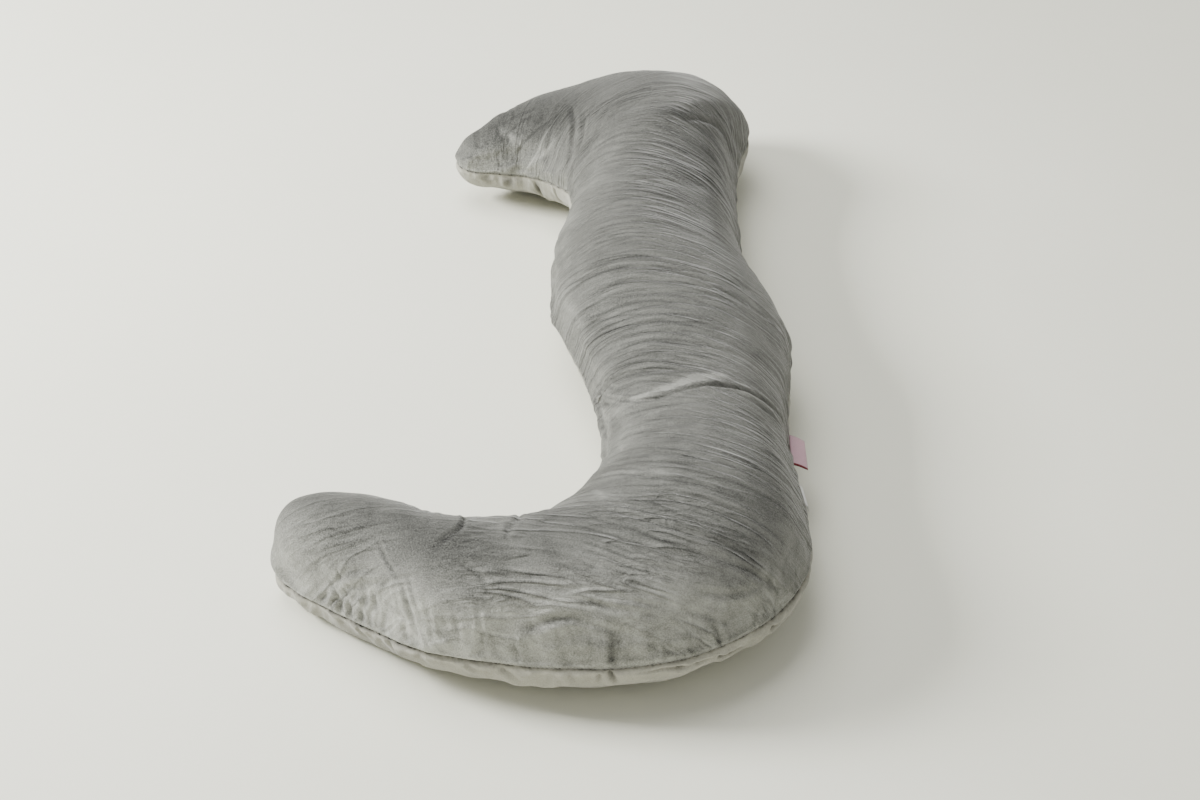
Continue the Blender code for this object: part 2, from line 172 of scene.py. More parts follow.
# Finer folds are laid between each two of the fan's. Their line is a random part of the line between
# the two, counted in its four places from 0 to 3
FAN_FILL = 10
FAN_FILL_WIDTH = 0.0027
FAN_FILL_DEPTH = 0.0011
FAN_BETWEEN = (0.1, 0.9)
FAN_STARTS = (-0.4, 2.0)
FAN_LENGTHS = (0.8, 1.8)
FAN_LIMITS = (-0.3, 3.3)
FAN_STRAY = (0.0015, 0.010)     # how far its middle strays, along and across
FAN_WIDTHS = (0.8, 1.25)
FAN_DEPTHS = (0.35, 1.5)
FOLDS = [
    Fold(0.0030, 0.0020, ((0.736, 0.42), (0.725, 0.32), (0.715, 0.20))),
    Fold(0.0030, 0.0018, ((0.779, 0.41), (0.770, 0.35), (0.753, 0.30), (0.737, 0.23))),
    Fold(0.0036, 0.0026, ((0.749, 0.21), (0.733, 0.15), (0.716, 0.13))),
    Fold(0.0034, 0.0024, ((0.826, 0.34), (0.810, 0.35), (0.796, 0.35))),
    Fold(0.0032, 0.0020, ((0.835, 0.27), (0.819, 0.31), (0.804, 0.29), (0.791, 0.28))),
    Fold(0.0036, 0.0028, ((0.827, 0.16), (0.814, 0.20), (0.800, 0.21))),
    Fold(0.0030, 0.0016, ((0.758, 0.18), (0.747, 0.12), (0.737, 0.07))),
    Fold(0.0034, 0.0016, ((0.822, 0.46), (0.797, 0.56), (0.770, 0.64))),
    Fold(0.0034, 0.0012, ((0.857, 0.38), (0.844, 0.35), (0.841, 0.26))),
    # the middle crease's outer end
    Fold(0.0024, 0.0042, ((0.5895, 0.44), (0.5870, 0.33), (0.5855, 0.23), (0.5830, 0.12))),
    # over the inner side, where the near hook bends off
    Fold(0.0023, 0.0044, ((0.838, 0.76), (0.845, 0.57), (0.857, 0.48), (0.868, 0.41))),
    Fold(0.0024, 0.0040, ((0.790, 0.82), (0.798, 0.67), (0.812, 0.58), (0.822, 0.49))),
    Fold(0.0040, 0.0016, ((0.806, 0.72), (0.818, 0.62), (0.830, 0.55))),
    Fold(0.0036, 0.0016, ((0.868, 0.72), (0.866, 0.60), (0.874, 0.48))),
    # star of folds on the near hook
    Fold(0.0024, 0.0026, ((0.905, 0.39), (0.896, 0.32), (0.888, 0.27))),
    Fold(0.0026, 0.0018, ((0.887, 0.28), (0.884, 0.20), (0.881, 0.11))),
    Fold(0.0026, 0.0016, ((0.883, 0.31), (0.880, 0.24), (0.877, 0.16))),
    Fold(0.0026, 0.0018, ((0.913, 0.22), (0.907, 0.23), (0.893, 0.26))),
    Fold(0.0024, 0.0012, ((0.893, 0.24), (0.891, 0.17), (0.894, 0.09))),
    Fold(0.0038, -0.0018, ((0.945, 0.08), (0.927, 0.20), (0.909, 0.25))),
    Fold(0.0030, 0.0016, ((0.940, 0.15), (0.925, 0.24), (0.905, 0.28))),
    # gathers beside the near hook's seam
    Fold(0.0026, 0.0026, ((0.951, 0.01), (0.948, 0.06), (0.941, 0.12))),
    Fold(0.0024, 0.0024, ((0.943, 0.01), (0.941, 0.06), (0.936, 0.11))),
    Fold(0.0026, 0.0028, ((0.935, 0.01), (0.935, 0.07), (0.929, 0.15))),
    Fold(0.0026, 0.0028, ((0.928, 0.01), (0.927, 0.08), (0.921, 0.17))),
    Fold(0.0028, 0.0030, ((0.919, 0.01), (0.919, 0.08), (0.913, 0.18))),
    Fold(0.0026, 0.0028, ((0.912, 0.01), (0.913, 0.08), (0.906, 0.17))),
    Fold(0.0025, 0.0024, ((0.904, 0.01), (0.903, 0.08), (0.897, 0.17))),
    Fold(0.0028, 0.0012, ((0.874, 0.03), (0.872, 0.14), (0.874, 0.25))),
    Fold(0.0028, 0.0012, ((0.863, 0.02), (0.861, 0.12), (0.858, 0.22))),
    Fold(0.0026, 0.0014, ((0.851, 0.02), (0.848, 0.14), (0.847, 0.27))),
    Fold(0.0026, 0.0010, ((0.843, 0.02), (0.843, 0.10), (0.845, 0.18))),
    Fold(0.0028, 0.0012, ((0.832, 0.01), (0.834, 0.10), (0.831, 0.17))),
    # gathers that reach the outer seam at the near corner
    Fold(0.0040, 0.0050, ((0.7900, 0.00), (0.7915, 0.05), (0.7895, 0.11), (0.7870, 0.16))),
    Fold(0.0034, 0.0044, ((0.7440, 0.00), (0.7445, 0.05), (0.7460, 0.10))),
    Fold(0.0034, 0.0022, ((0.727, 0.00), (0.725, 0.05), (0.721, 0.10))),
    Fold(0.0034, 0.0024, ((0.714, 0.00), (0.711, 0.06), (0.706, 0.11))),
    Fold(0.0036, 0.0016, ((0.770, 0.00), (0.768, 0.05), (0.765, 0.11))),
    # over the far hook
    Fold(0.0028, 0.0014, ((0.052, 0.60), (0.078, 0.57), (0.100, 0.60))),
    Fold(0.0028, 0.0016, ((0.056, 0.74), (0.080, 0.64), (0.108, 0.60))),
    Fold(0.0030, 0.0018, ((0.070, 0.92), (0.088, 0.78), (0.112, 0.70))),
    Fold(0.0028, 0.0014, ((0.050, 0.86), (0.066, 0.76), (0.060, 0.66))),
    Fold(0.0030, 0.0018, ((0.124, 0.95), (0.120, 0.84), (0.114, 0.72))),
    Fold(0.0028, 0.0012, ((0.084, 0.95), (0.080, 0.86), (0.090, 0.72))),
]

# Pale marks along the creases, rubbed nap with a painted highlight: half width, paleness in the place
# of a depth, and the places
RUBS_AND_HIGHLIGHTS = [
    Fold(0.0056, 2.10, ((0.6030, 0.76), (0.5970, 0.61), (0.5875, 0.50), (0.5785, 0.38))),
    Fold(0.0024, 1.00, ((0.5925, 0.37), (0.5905, 0.28), (0.5890, 0.20))),
    Fold(0.0050, 0.50, ((0.625, 0.72), (0.624, 0.67), (0.621, 0.62))),
    Fold(0.0060, 0.30, ((0.583, 0.93), (0.596, 0.88), (0.603, 0.79), (0.603, 0.72))),
    Fold(0.0044, 0.55, ((0.642, 0.83), (0.655, 0.80), (0.668, 0.78))),
    Fold(0.0040, 0.60, ((0.727, 0.73), (0.735, 0.67), (0.738, 0.63))),
    Fold(0.0050, 0.30, ((0.702, 0.82), (0.702, 0.64), (0.691, 0.54))),
    Fold(0.0036, 0.45, ((0.053, 0.63), (0.069, 0.74), (0.087, 0.82))),
    Fold(0.0034, 0.50, ((0.089, 0.97), (0.106, 0.86), (0.116, 0.72))),
    Fold(0.0040, 0.50, ((0.100, 0.90), (0.118, 0.86), (0.131, 0.80))),
    Fold(0.0060, 0.26, ((0.462, 0.87), (0.486, 0.86), (0.513, 0.87))),
    Fold(0.0050, 0.32, ((0.559, 0.92), (0.574, 0.92), (0.598, 0.89))),
    Fold(0.0060, 0.30, ((0.814, 0.30), (0.804, 0.25), (0.790, 0.26))),
    Fold(0.0060, 0.26, ((0.837, 0.22), (0.829, 0.19), (0.818, 0.18))),
    Fold(0.0050, 0.24, ((0.927, 0.11), (0.916, 0.10), (0.902, 0.07))),
]

# Patches where the nap lies another way, with painted light and shade: middle (along, across), reach
# each way in metres, and how much paler (or, below zero, darker) the cloth is painted there
Wear = namedtuple("Wear", "along across reach_along reach_across share")
WEAR_AND_LIGHT = [
    Wear(0.055, 0.70, 0.090, 0.090, -0.46),
    Wear(0.120, 0.66, 0.060, 0.060, -0.42),
    Wear(0.300, 0.22, 0.110, 0.060, -0.24),
    Wear(0.350, 0.46, 0.110, 0.060, -0.28),
    Wear(0.300, 0.82, 0.120, 0.050, 0.36),
    Wear(0.465, 0.18, 0.070, 0.050, 0.48),
    Wear(0.550, 0.24, 0.120, 0.060, 0.32),
    Wear(0.640, 0.85, 0.090, 0.045, 0.44),
    Wear(0.690, 0.07, 0.070, 0.040, 0.65),
    Wear(0.770, 0.24, 0.070, 0.060, 0.54),
    Wear(0.720, 0.64, 0.060, 0.040, 0.24),
    Wear(0.780, 0.68, 0.040, 0.040, -0.24),
    Wear(0.820, 0.66, 0.050, 0.050, 0.30),
    Wear(0.870, 0.13, 0.140, 0.045, 0.50),
    Wear(0.975, 0.15, 0.050, 0.060, 0.22),
    Wear(0.940, 0.33, 0.045, 0.040, -0.22),
    Wear(0.900, 0.62, 0.060, 0.040, 0.24),
    Wear(0.855, 0.40, 0.080, 0.050, -0.22),
    Wear(0.925, 0.46, 0.050, 0.050, -0.16),
    Wear(0.430, 0.88, 0.110, 0.032, 0.30),
    Wear(0.640, 0.52, 0.070, 0.060, 0.22),
    Wear(0.745, 0.80, 0.060, 0.050, 0.22),
    Wear(0.700, 0.40, 0.060, 0.050, 0.22),
    Wear(0.705, 0.14, 0.050, 0.050, 0.22),
    Wear(0.925, 0.60, 0.050, 0.050, 0.26),
    Wear(0.800, 0.10, 0.045, 0.030, -0.22),
    Wear(0.640, 0.12, 0.060, 0.040, 0.16),
]

# Where the fine crumples die down beside the near corner's seam, given as such a patch
CALM = Wear(0.803, 0.075, 0.055, 0.034, 0.92)

# Fine creases that run across the upper panel. Each row is a zone along the pillow: where it starts
# and ends as a share of its length, creases in it, the middle and spread of their place from the
# outer seam (0) to the inner (1), their length as a share of the width, slant and bend along the
# pillow over the whole width, half width and depth.
Zone = namedtuple("Zone", "start end count place spread length slant bend width depth")
ZONES = [
    Zone(0.02, 0.13, 10, 0.55, 0.30, 0.30, 0.05, 0.00, 0.0034, 0.0005),
    Zone(0.12, 0.20, 12, 0.70, 0.15, 0.28, 0.05, 0.00, 0.0032, 0.0006),
    Zone(0.17, 0.33, 26, 0.45, 0.20, 0.55, -0.17, 0.00, 0.0034, 0.0009),
    Zone(0.17, 0.33, 26, 0.45, 0.35, 0.26, -0.17, 0.00, 0.0030, 0.0006),
    Zone(0.31, 0.48, 26, 0.48, 0.12, 0.66, -0.055, 0.20, 0.0034, 0.0012),
    Zone(0.31, 0.48, 34, 0.44, 0.30, 0.30, -0.055, 0.20, 0.0030, 0.0007),
    Zone(0.46, 0.61, 22, 0.52, 0.12, 0.66, -0.050, 0.00, 0.0036, 0.0015),
    Zone(0.46, 0.61, 30, 0.50, 0.28, 0.32, -0.050, 0.00, 0.0030, 0.0009),
    Zone(0.60, 0.70, 14, 0.48, 0.15, 0.52, 0.020, -0.08, 0.0034, 0.0009),
    Zone(0.60, 0.70, 18, 0.48, 0.28, 0.28, 0.020, -0.08, 0.0030, 0.0007),
    Zone(0.79, 0.90, 16, 0.14, 0.08, 0.15, 0.000, 0.00, 0.0032, 0.0007),
    Zone(0.79, 0.90, 10, 0.72, 0.12, 0.22, -0.060, 0.00, 0.0036, 0.0009),
    Zone(0.88, 0.96, 14, 0.10, 0.05, 0.10, 0.030, 0.00, 0.0030, 0.0009),
]
# What varies at random from one crease of a zone to the next
ZONE_JITTER = 0.45        # share of their even spacing
ZONE_LENGTHS = (0.5, 1.4)
ZONE_DEPTHS = (0.4, 1.5)
CREASE_WIDTHS = (0.75, 1.35)
ZONE_TURN = 0.012         # slant
CREASE_WANDER = 0.0030    # sideways wobble, in metres
WANDER_WAVES = (3.0, 7.0)       # half waves of it over the panel's width
ZONE_SPAN = 0.10          # share of the length that a crease may cover on either side of its middle

FOLD_SPANS = 6            # straight steps between two places of a listed fold
FOLD_WIDENING = 1.15
FOLD_FADE = 0.7           # how abruptly a fold ends
LINE_MARGIN = 8           # how far a sweep or tuck is worked out beside its line, in half widths
FOLD_MARGIN = 6
PATCH_MARGIN = 5

# Crumpled patches of short folds in all directions: middle along the pillow (share of its length)
# and across (0 outer seam, 1 inner), reach each way in metres, folds, length, half width, depth.
Patch = namedtuple("Patch", "along across reach_along reach_across count length width depth")
PATCHES = [
    Patch(0.065, 0.70, 0.075, 0.070, 40, 0.022, 0.0025, 0.0007),
    Patch(0.920, 0.16, 0.070, 0.030, 46, 0.020, 0.0024, 0.0009),
    Patch(0.585, 0.86, 0.050, 0.035, 30, 0.022, 0.0025, 0.0011),
    Patch(0.820, 0.20, 0.100, 0.050, 30, 0.022, 0.0026, 0.0006),
    Patch(0.760, 0.12, 0.060, 0.025, 18, 0.018, 0.0025, 0.0007),
]
PATCH_LENGTHS = (0.5, 1.6)
PATCH_DEPTHS = (0.3, 1.5)
PATCH_BOW = 0.2           # how far a fold bows, as a share of its half length

# Tucks in the lower panel below the outer seam: from one place to another, each a share of the length
# and a distance from the seam in metres, then half the valley's width and its depth. A tuck is
# deepest where it starts.
Line = namedtuple("Line", "along across to_along to_across width depth")
TUCKS = [
    Line(0.7435, 0.0150, 0.7290, 0.0200, 0.0028, 0.0090),
    Line(0.7155, 0.0110, 0.7070, 0.0200, 0.0030, 0.0090),
    Line(0.7560, 0.0090, 0.7480, 0.0105, 0.0020, 0.0040),
    Line(0.7640, 0.0085, 0.7570, 0.0085, 0.0020, 0.0040),
    Line(0.7650, 0.0080, 0.7880, 0.0060, 0.0018, 0.0034),
    Line(0.7935, 0.0030, 0.7885, 0.0250, 0.0034, 0.0070),
    Line(0.7975, 0.0080, 0.7980, 0.0240, 0.0030, 0.0028),
    Line(0.8100, 0.0060, 0.8060, 0.0280, 0.0040, 0.0016),
    Line(0.9000, 0.0040, 0.8920, 0.0300, 0.0038, 0.0034),
    Line(0.9220, 0.0040, 0.9160, 0.0240, 0.0038, 0.0026),
    Line(0.8800, 0.0050, 0.8740, 0.0240, 0.0040, 0.0018),
    Line(0.8560, 0.0050, 0.8480, 0.0260, 0.0040, 0.0016),
    Line(0.8400, 0.0060, 0.8280, 0.0260, 0.0044, 0.0020),
]
TUCK_KEENNESS = 6.0       # how abruptly a tuck begins
# The same below the inner seam, for the far hook, but deepest in their middles
INNER_TUCKS = [
    Line(0.074, 0.006, 0.062, 0.046, 0.0058, 0.0044),
    Line(0.102, 0.004, 0.128, 0.030, 0.0044, 0.0046),
    Line(0.112, 0.012, 0.104, 0.050, 0.0062, 0.0040),
    Line(0.046, 0.006, 0.034, 0.040, 0.0055, 0.0022),
    Line(0.140, 0.004, 0.146, 0.036, 0.0042, 0.0026),
]

# Labels in the outer seam, of folded tape: place along the pillow, slope at the seam and at the fold
# in degrees, height of the ripple, and from the sizes width along the seam and reach out of it
Label = namedtuple("Label", "name along dip curl ripple width reach", defaults=(0.0, 0.0))
SIDE_LABEL = Label("side_label", 0.585, 14, 34, 0.0015)
CARE_LABEL = Label("care_label", 0.6225, 22, 96, 0.0008)
LABEL_START = 0.0035
LABEL_STEPS = 14
LABEL_GAP = 0.0012        # between the two layers of a folded label
LABEL_THICKNESS = 0.0004
LABEL_RIPPLE_TURN = (-1.2, 4.4)
LABEL_ROUNDNESS = 6       # how late the two layers close towards the fold
TAPE_THREADS = 3600.0     # the weave's waves, radians per metre
TAPE_HEM = 0.0590         # where the side label's dyed hem starts, metres along the tape
TAPE_RELIEF = 0.0002
TAPE_WEAR = (160.0, 2.0, 0.6)     # scale, detail and roughness of its wear
TAPE_WEAVE_TINT = 0.22
TAPE_WEAR_TINT = 0.5
TAPE_SHADES = (0.80, 1.12)        # darkest and palest, as shares of its colour
TAPE_ROUGHNESS = 0.62

# Stitches
STITCH_SIDES = 5
STITCH_MARGIN = 0.030     # from a tip to the first stitch
STITCH_RINGS = ((-0.38, 0.75), (0.0, 1.0), (0.38, 0.75))     # (share of its length, of its radius)
THREAD_TWIST = (900.0, 1.0)
THREAD_SHADES = (0.85, 1.35)      # darkest and palest, as shares of the plush's colour
THREAD_ROUGHNESS = 0.55
THREAD_UNEVEN_ROUGHNESS = 0.15

# Brushing of the velvet: streaks run across the pillow with a lean and a bow, which say how far along
# the pillow they stray over its whole width, as shares of its length
LEANS = ((0.07, 0.0, 0.0), (0.22, -0.17, 0.0), (0.28, -0.16, 0.02), (0.42, -0.055, 0.10),
         (0.48, -0.050, 0.06), (0.58, -0.040, 0.0), (0.68, 0.020, -0.05))     # (along, lean, bow)
# From the near crook on they run nearly sideways, and y + slant x + bow x² + drop z stays the same
FAN_SLANT = 0.15
FAN_BOW = 0.28
FAN_DROP = 0.38
FAN_LEVEL = -0.395        # that sum where the two directions meet,
FAN_SIDE = 0.385          # and how far to the side the outer seam lies there
FAN_FROM = 0.70           # where they meet, as a share of the length, and the ease on either side
FAN_EASE = 0.04
BRUSHED = ((0.0, 0.15), (0.11, 0.25), (0.17, 0.85), (0.22, 1.0), (0.60, 1.0), (0.68, 0.80),
           (0.76, 0.60), (0.82, 0.36), (0.87, 0.14), (1.0, 0.10))     # (along, strength of the streaks, and of the painted shade and highlight of their lines)
CRUMPLED = ((0.0, 0.40), (0.13, 0.50), (0.18, 0.10), (0.50, 0.08), (0.60, 0.30), (0.69, 0.45),
            (0.73, 1.30), (0.84, 1.25), (0.88, 0.55), (0.95, 0.65), (1.0, 0.25))     # (along, strength of the crumple lines and their painted shade and highlight)

# Painted shade darkens the seam's groove, and a painted highlight pales the rolled edge beside it
HEM_GROOVE_SHADE = 0.60
HEM_GROOVE_REACH = 0.0016
HEM_EDGE_HIGHLIGHT = 0.20
HEM_EDGE_PLACE = 0.0055
HEM_EDGE_REACH = 0.0026
HEM_PUCKERS = ((0.023, 0.45), (0.0113, 0.40))     # (pitch along the seam, share of the painted shade and highlight)
PUCKER_DRIFTS = ((2.1, 0.23), (1.3, 0.071))       # (how far their spacing wanders, how slowly)
PUCKER_LIMITS = (0.3, 2.0)

# Fine creases in the velvet's material: cells per metre along and across the pillow, and how sharply
# each line stands out of its cell. Each line is a bump, with painted shade along its valley and a
# painted highlight beside it
Lines = namedtuple("Lines", "along across sharp warp")
LONG_LINES = Lines(56.0, 3.6, 11.0, 0.25)
MIDDLE_LINES = Lines(98.0, 10.0, 8.5, 0.35)
FINE_LINES = Lines(210.0, 30.0, 5.5, 0.4)
CRUMPLE_LINES = Lines(50.0, 9.5, 11.0, 0.5)
SMALL_LINES = Lines(105.0, 34.0, 7.0, 0.7)
LINES_ROUGHNESS = 0.35
LINE_LIGHT_OFFSET = 0.0030   # a line's painted highlight lies this far beyond its painted shade
MIDDLE_SHARE = 0.75          # how strong the middle lines are beside the long ones,
SMALL_SHARE = 0.5            # and the small ones beside the crumples
# Where each kind of line is strong: patches per metre along and across, and the noise they start at
LONG_PATCHES = (9.0, 4.0, 0.42)
MIDDLE_PATCHES = (21.0, 7.0, 0.40)
CRUMPLE_PATCHES = (14.0, 9.0, 0.34)
PATCH_EDGE = 5.0             # how sharp their edges are

# Noises of the velvet. Those by place: scale, detail, roughness, distortion
CLOUD = (6.0, 3.0, 0.60, 0.6)
MOTTLE = (24.0, 4.0, 0.64, 0.9)
PILE = (520.0, 2.0, 0.7)
# Those that follow the brushing: cells per metre along and across, then the same without the scale
SPOTS = (34.0, 13.0, 3.0, 0.60, 0.6)
STREAKS = (150.0, 14.0, 3.0, 0.62, 0.3)
HAIRS = (460.0, 190.0, 2.0, 0.6)

# How strongly each tints the velvet
CLOUD_TINT = 0.8
MOTTLE_TINT = 0.95
MOTTLE_BRUSHED_OUT = 0.65    # and how much of it brushing takes away
PILE_TINT = 1.5
SPOTS_TINT = 0.6
STREAKS_TINT = 0.32
HAIRS_TINT = 0.55
# Painted shade along the lines' valleys and painted highlight beside them
VALLEY_SHADE = 0.29
STREAKED_HIGHLIGHT = 0.055
CRUMPLED_HIGHLIGHT = 0.20
CRUMPLE_VALLEY = 0.95
FINE_SHADE = 0.045
RUB_AND_HIGHLIGHT_GRAIN = 3.0           # how much grain shows in the pale marks and patches, of nap with painted light and highlight
WEAR_AND_LIGHT_GRAIN = 3.6
TONE_GAIN = 1.2
# Painted shade darkens the creases' valleys, and a painted highlight pales their shoulders, by the crease
# depth
VELVET_CREASE_SHADING = 90.0
VELVET_CREASE_SHADING_LIMITS = (-0.16, 0.08)
VELVET_SLOPE_SHADING = 1.25   # painted highlight and shade: how much paler small slopes turned to the front are, and darker those turned away
VELVET_SLOPE_SHADING_LIMITS = (-0.28, 0.45)
VELVET_NAP_AND_LIGHT_BASE = 0.88    # how pale the velvet is painted where it faces across the front: painted light, with the pile's lean
VELVET_NAP_AND_LIGHT_LINEAR = 0.20  # and how much paler where it faces the front
VELVET_NAP_AND_LIGHT_TINT = 1.70
VELVET_LIMITS = (0.25, 2.5)
NAP_EVEN = 5              # points over which the slow part of that facing is averaged
# How high each stands in the velvet's relief
PILE_RELIEF = 0.8
HAIRS_RELIEF = 0.5
STREAKS_RELIEF = 0.55
VALLEY_RELIEF = 0.95
FINE_RELIEF = 0.14
CLOTH_RELIEF = 0.0014     # metres from the lowest to the highest
VELVET_ROUGHNESS = 0.80
UNEVEN_ROUGHNESS = 0.2    # how much it varies, as the label tape's and the floor's do
VELVET_SURFACE = {"Sheen Weight": 0.42, "Sheen Roughness": 0.36, "Sheen Tint": (0.95, 0.95, 0.90, 1.0),
                  "Specular IOR Level": 0.15}

# The plush, in the same way
PLUSH_CLOUD = (11.0, 3.0, 0.55, 0.5)
PLUSH_PILE = (420.0, 2.0, 0.6)
PLUSH_RIPPLE = (70.0, 26.0, 2.0, 0.55, 0.8)
PLUSH_CLOUD_TINT = 0.40
PLUSH_PILE_TINT = 0.45
PLUSH_RIPPLE_TINT = 0.35
# Painted shade darkens the tucks' valleys, by their depth
PLUSH_CREASE_SHADING = 130.0
PLUSH_CREASE_SHADING_LIMITS = (-0.62, 0.08)
PLUSH_LIMITS = (0.2, 1.6)
PLUSH_PILE_RELIEF = 0.7
PLUSH_RIPPLE_RELIEF = 0.9
PLUSH_ROUGHNESS = 0.82
PLUSH_UNEVEN_ROUGHNESS = 0.15
PLUSH_SURFACE = {"Sheen Weight": 0.30, "Sheen Roughness": 0.4, "Specular IOR Level": 0.15}
PLUSH_PAINTED_LIGHT = ((0.0, 0.0), (0.69, 0.0), (0.74, 0.34), (0.80, 0.30), (0.87, 0.20), (0.893, -0.18),
              (0.93, -0.15), (0.96, -0.05), (1.0, 0.0))     # (along, how much paler the plush is painted: painted light, and below zero painted shade)
NAP_AND_LIGHT_SIDE = (-0.14, -0.99, 0.0)    # faces turned this way, to the front, are painted paler: painted light, with the pile's lean

# The filling's settling, by a cloth simulation of a coarser pillow pinned at its seam
SETTLE_STATIONS = 330
SETTLE_UPPER = 44
SETTLE_LOWER = 28
SETTLE_FRAMES = 20
SETTLE_CLOTH = {"quality": 4, "mass": 0.25, "air_damping": 2.0, "tension_stiffness": 20.0,
                "compression_stiffness": 20.0, "shear_stiffness": 8.0, "bending_stiffness": 0.05,
                "use_pressure": True, "uniform_pressure_force": 4.0,
                "shrink_min": -0.030}     # the cloth is cut this share larger than the filling
SETTLE_CAP = 0.0028       # farthest that settling moves the cloth
SETTLE_EVEN = 3           # points over which slow swelling is averaged out of the settling
SETTLE_REACH = 0.055      # how far in from a seam the settling's gathers run
SETTLE_SHARE = 0.9

# Slow unevenness of the filling
LUMP_SIZE = 0.110
RIPPLE_SIZE = 0.035
RIPPLE_HEIGHT = 0.0013
SEED = 7

# Camera, from the floor under the pillow's middle
CAMERA_HEIGHT = 1.66
CAMERA_PITCH = 38.0       # degrees below level
CAMERA_PLACE = (0.0674, -2.1887)
FOCAL_LENGTH = 55.0
SENSOR_WIDTH = 36.0

# Lamps, sky and floor
Lamp = namedtuple("Lamp", "name place size power")
LAMPS = [
    Lamp("key", (-3.4, 0.4, 2.3), 1.3, 395.0),
    Lamp("top", (-0.8, 0.7, 3.6), 2.6, 130.0),
    Lamp("low", (-1.3, -3.8, 0.7), 1.8, 12.0),
]
SKY_STRENGTH = 0.50
SKY_COLOUR = (1.0, 1.0, 0.985, 1.0)
FLOOR_SIZE = 14.0
FLOOR_DARK = (0.755, 0.754, 0.640, 1.0)
FLOOR_PALE = (0.825, 0.824, 0.703, 1.0)
FLOOR_CLOUD = (1.3, 4.0, 0.55)
FLOOR_GRAIN = (45.0, 3.0, 0.6)
FLOOR_CLOUD_TINT = 1.2
FLOOR_GRAIN_TINT = 0.25
FLOOR_ROUGHNESS = 0.78
SIDE_HEM = (0.16, 0.010, 0.014)     # colour of the side label's dyed hem


def open_spline(values, at):
    """Natural cubic spline through values at 0, 1, 2, ..., read at the places in at."""
    count = len(values)
    matrix = np.eye(count)
    pull = np.zeros(count)
    for row in range(1, count - 1):
        matrix[row, row - 1:row + 2] = (1, 4, 1)
        pull[row] = 6 * (values[row - 1] - 2 * values[row] + values[row + 1])
    bend = np.linalg.solve(matrix, pull)
    low = np.clip(np.floor(at).astype(int), 0, count - 2)
    share = at - low
    rest = 1 - share
    straight = values[low] * rest + values[low + 1] * share
    return straight + (rest ** 3 - rest) * bend[low] / 6 + (share ** 3 - share) * bend[low + 1] / 6


def closed_spline(points, at):
    """Periodic cubic spline through a loop of points, read at the places in at."""
    count = len(points)
    matrix = 4 * np.eye(count) + np.roll(np.eye(count), 1, 0) + np.roll(np.eye(count), -1, 0)
    pull = 6 * (np.roll(points, 1, 0) - 2 * points + np.roll(points, -1, 0))
    bend = np.linalg.solve(matrix, pull)
    at = at % count
    low = np.floor(at).astype(int)
    high = (low + 1) % count
    share = (at - low)[:, None]
    rest = 1 - share
    straight = points[low] * rest + points[high] * share
    return straight + (rest ** 3 - rest) * bend[low] / 6 + (share ** 3 - share) * bend[high] / 6


def seam_rails(at):
    """Outer and inner seam points at section places at: both lie on one closed outline."""
    table = np.array(SECTIONS)
    outline = np.vstack([table[:, 0:2], table[-2:0:-1, 2:4]])
    return closed_spline(outline, at), closed_spline(outline, len(outline) - at)


def rail_steps(at):
    """Distances from one section place to the next, along the outer seam and along the inner one."""
    return [np.linalg.norm(np.diff(rail, axis=0), axis=1) for rail in seam_rails(at)]


def run_of(steps):
    """Length up to each place, from the steps between them."""
    return np.concatenate([[0], np.cumsum(steps)])


def even_stations(count):
    """Section places spaced evenly along the two seams."""
    fine = np.linspace(0, len(SECTIONS) - 1, FINE_STATIONS)
    run = run_of(sum(rail_steps(fine)))
    return np.interp(np.linspace(0, run[-1], count), run, fine)


def unit_normals(grid):
    """Normals of a grid's surface, on the side that the order of its points gives."""
    normal = np.cross(np.gradient(grid, axis=0), np.gradient(grid, axis=1))
    return normal / np.maximum(np.linalg.norm(normal, axis=2, keepdims=True), SMALLEST_NORMAL)


def surface_normals(grid, up):
    """A panel's normals: up is 1 for those of an upper panel, -1 for a lower one's."""
    normal = unit_normals(grid)
    middle = normal[:, grid.shape[1] // 2, 2].mean()
    return normal * (up * np.sign(middle))


class Cloth:
    """Measures of a panel: where each point lies on the cloth, in shares and in metres."""

    def __init__(self, grid):
        stations = len(grid)
        step = np.linalg.norm(np.diff(grid, axis=1), axis=2)
        self.distance = np.concatenate([np.zeros((stations, 1)), np.cumsum(step, axis=1)], axis=1)
        self.width = np.maximum(self.distance[:, -1:], NARROWEST)
        self.across = self.distance / self.width
        self.along = np.linspace(0, 1, stations)[:, None]
        self.stretch = np.linalg.norm(np.gradient(grid, axis=0), axis=2) * (stations - 1)
        self.to_seam = np.minimum(self.distance, self.width - self.distance)
        edge_step = np.linalg.norm(np.diff(grid[:, [0, -1]], axis=0), axis=2)
        edge_run = np.concatenate([np.zeros((1, 2)), np.cumsum(edge_step, axis=0)])
        self.seam_run = np.where(self.across < 0.5, edge_run[:, :1], edge_run[:, 1:])
        self.spread = np.dstack([self.along * self.stretch.mean() + 0 * self.across, self.distance])

    def rows_near(self, low, high, margin):
        """Which stations lie between two shares of the length, with a margin in metres."""
        ease = margin / self.stretch.mean()
        return (self.along[:, 0] > low - ease) & (self.along[:, 0] < high + ease)


def seam_swell(cloth, share, swelling):
    """The filling rises out of the stitch line, gathered into puckers along it."""
    reach = cloth.to_seam
    rise = 1 - np.exp(-reach / SEAM_SWELL_REACH)
    swell = swelling * rise + SEAM_NIP * (1 - np.exp(-reach / SEAM_NIP_REACH))
    for number, gather in enumerate(GATHERS):
        turn = 2 * math.pi * cloth.seam_run / gather.pitch + number
        wave = np.cos(turn + gather.wander * np.sin(GATHER_DRIFT * turn + number))
        swell += rise * gather.depth * share * wave * np.exp(-reach / gather.reach)
    return swell


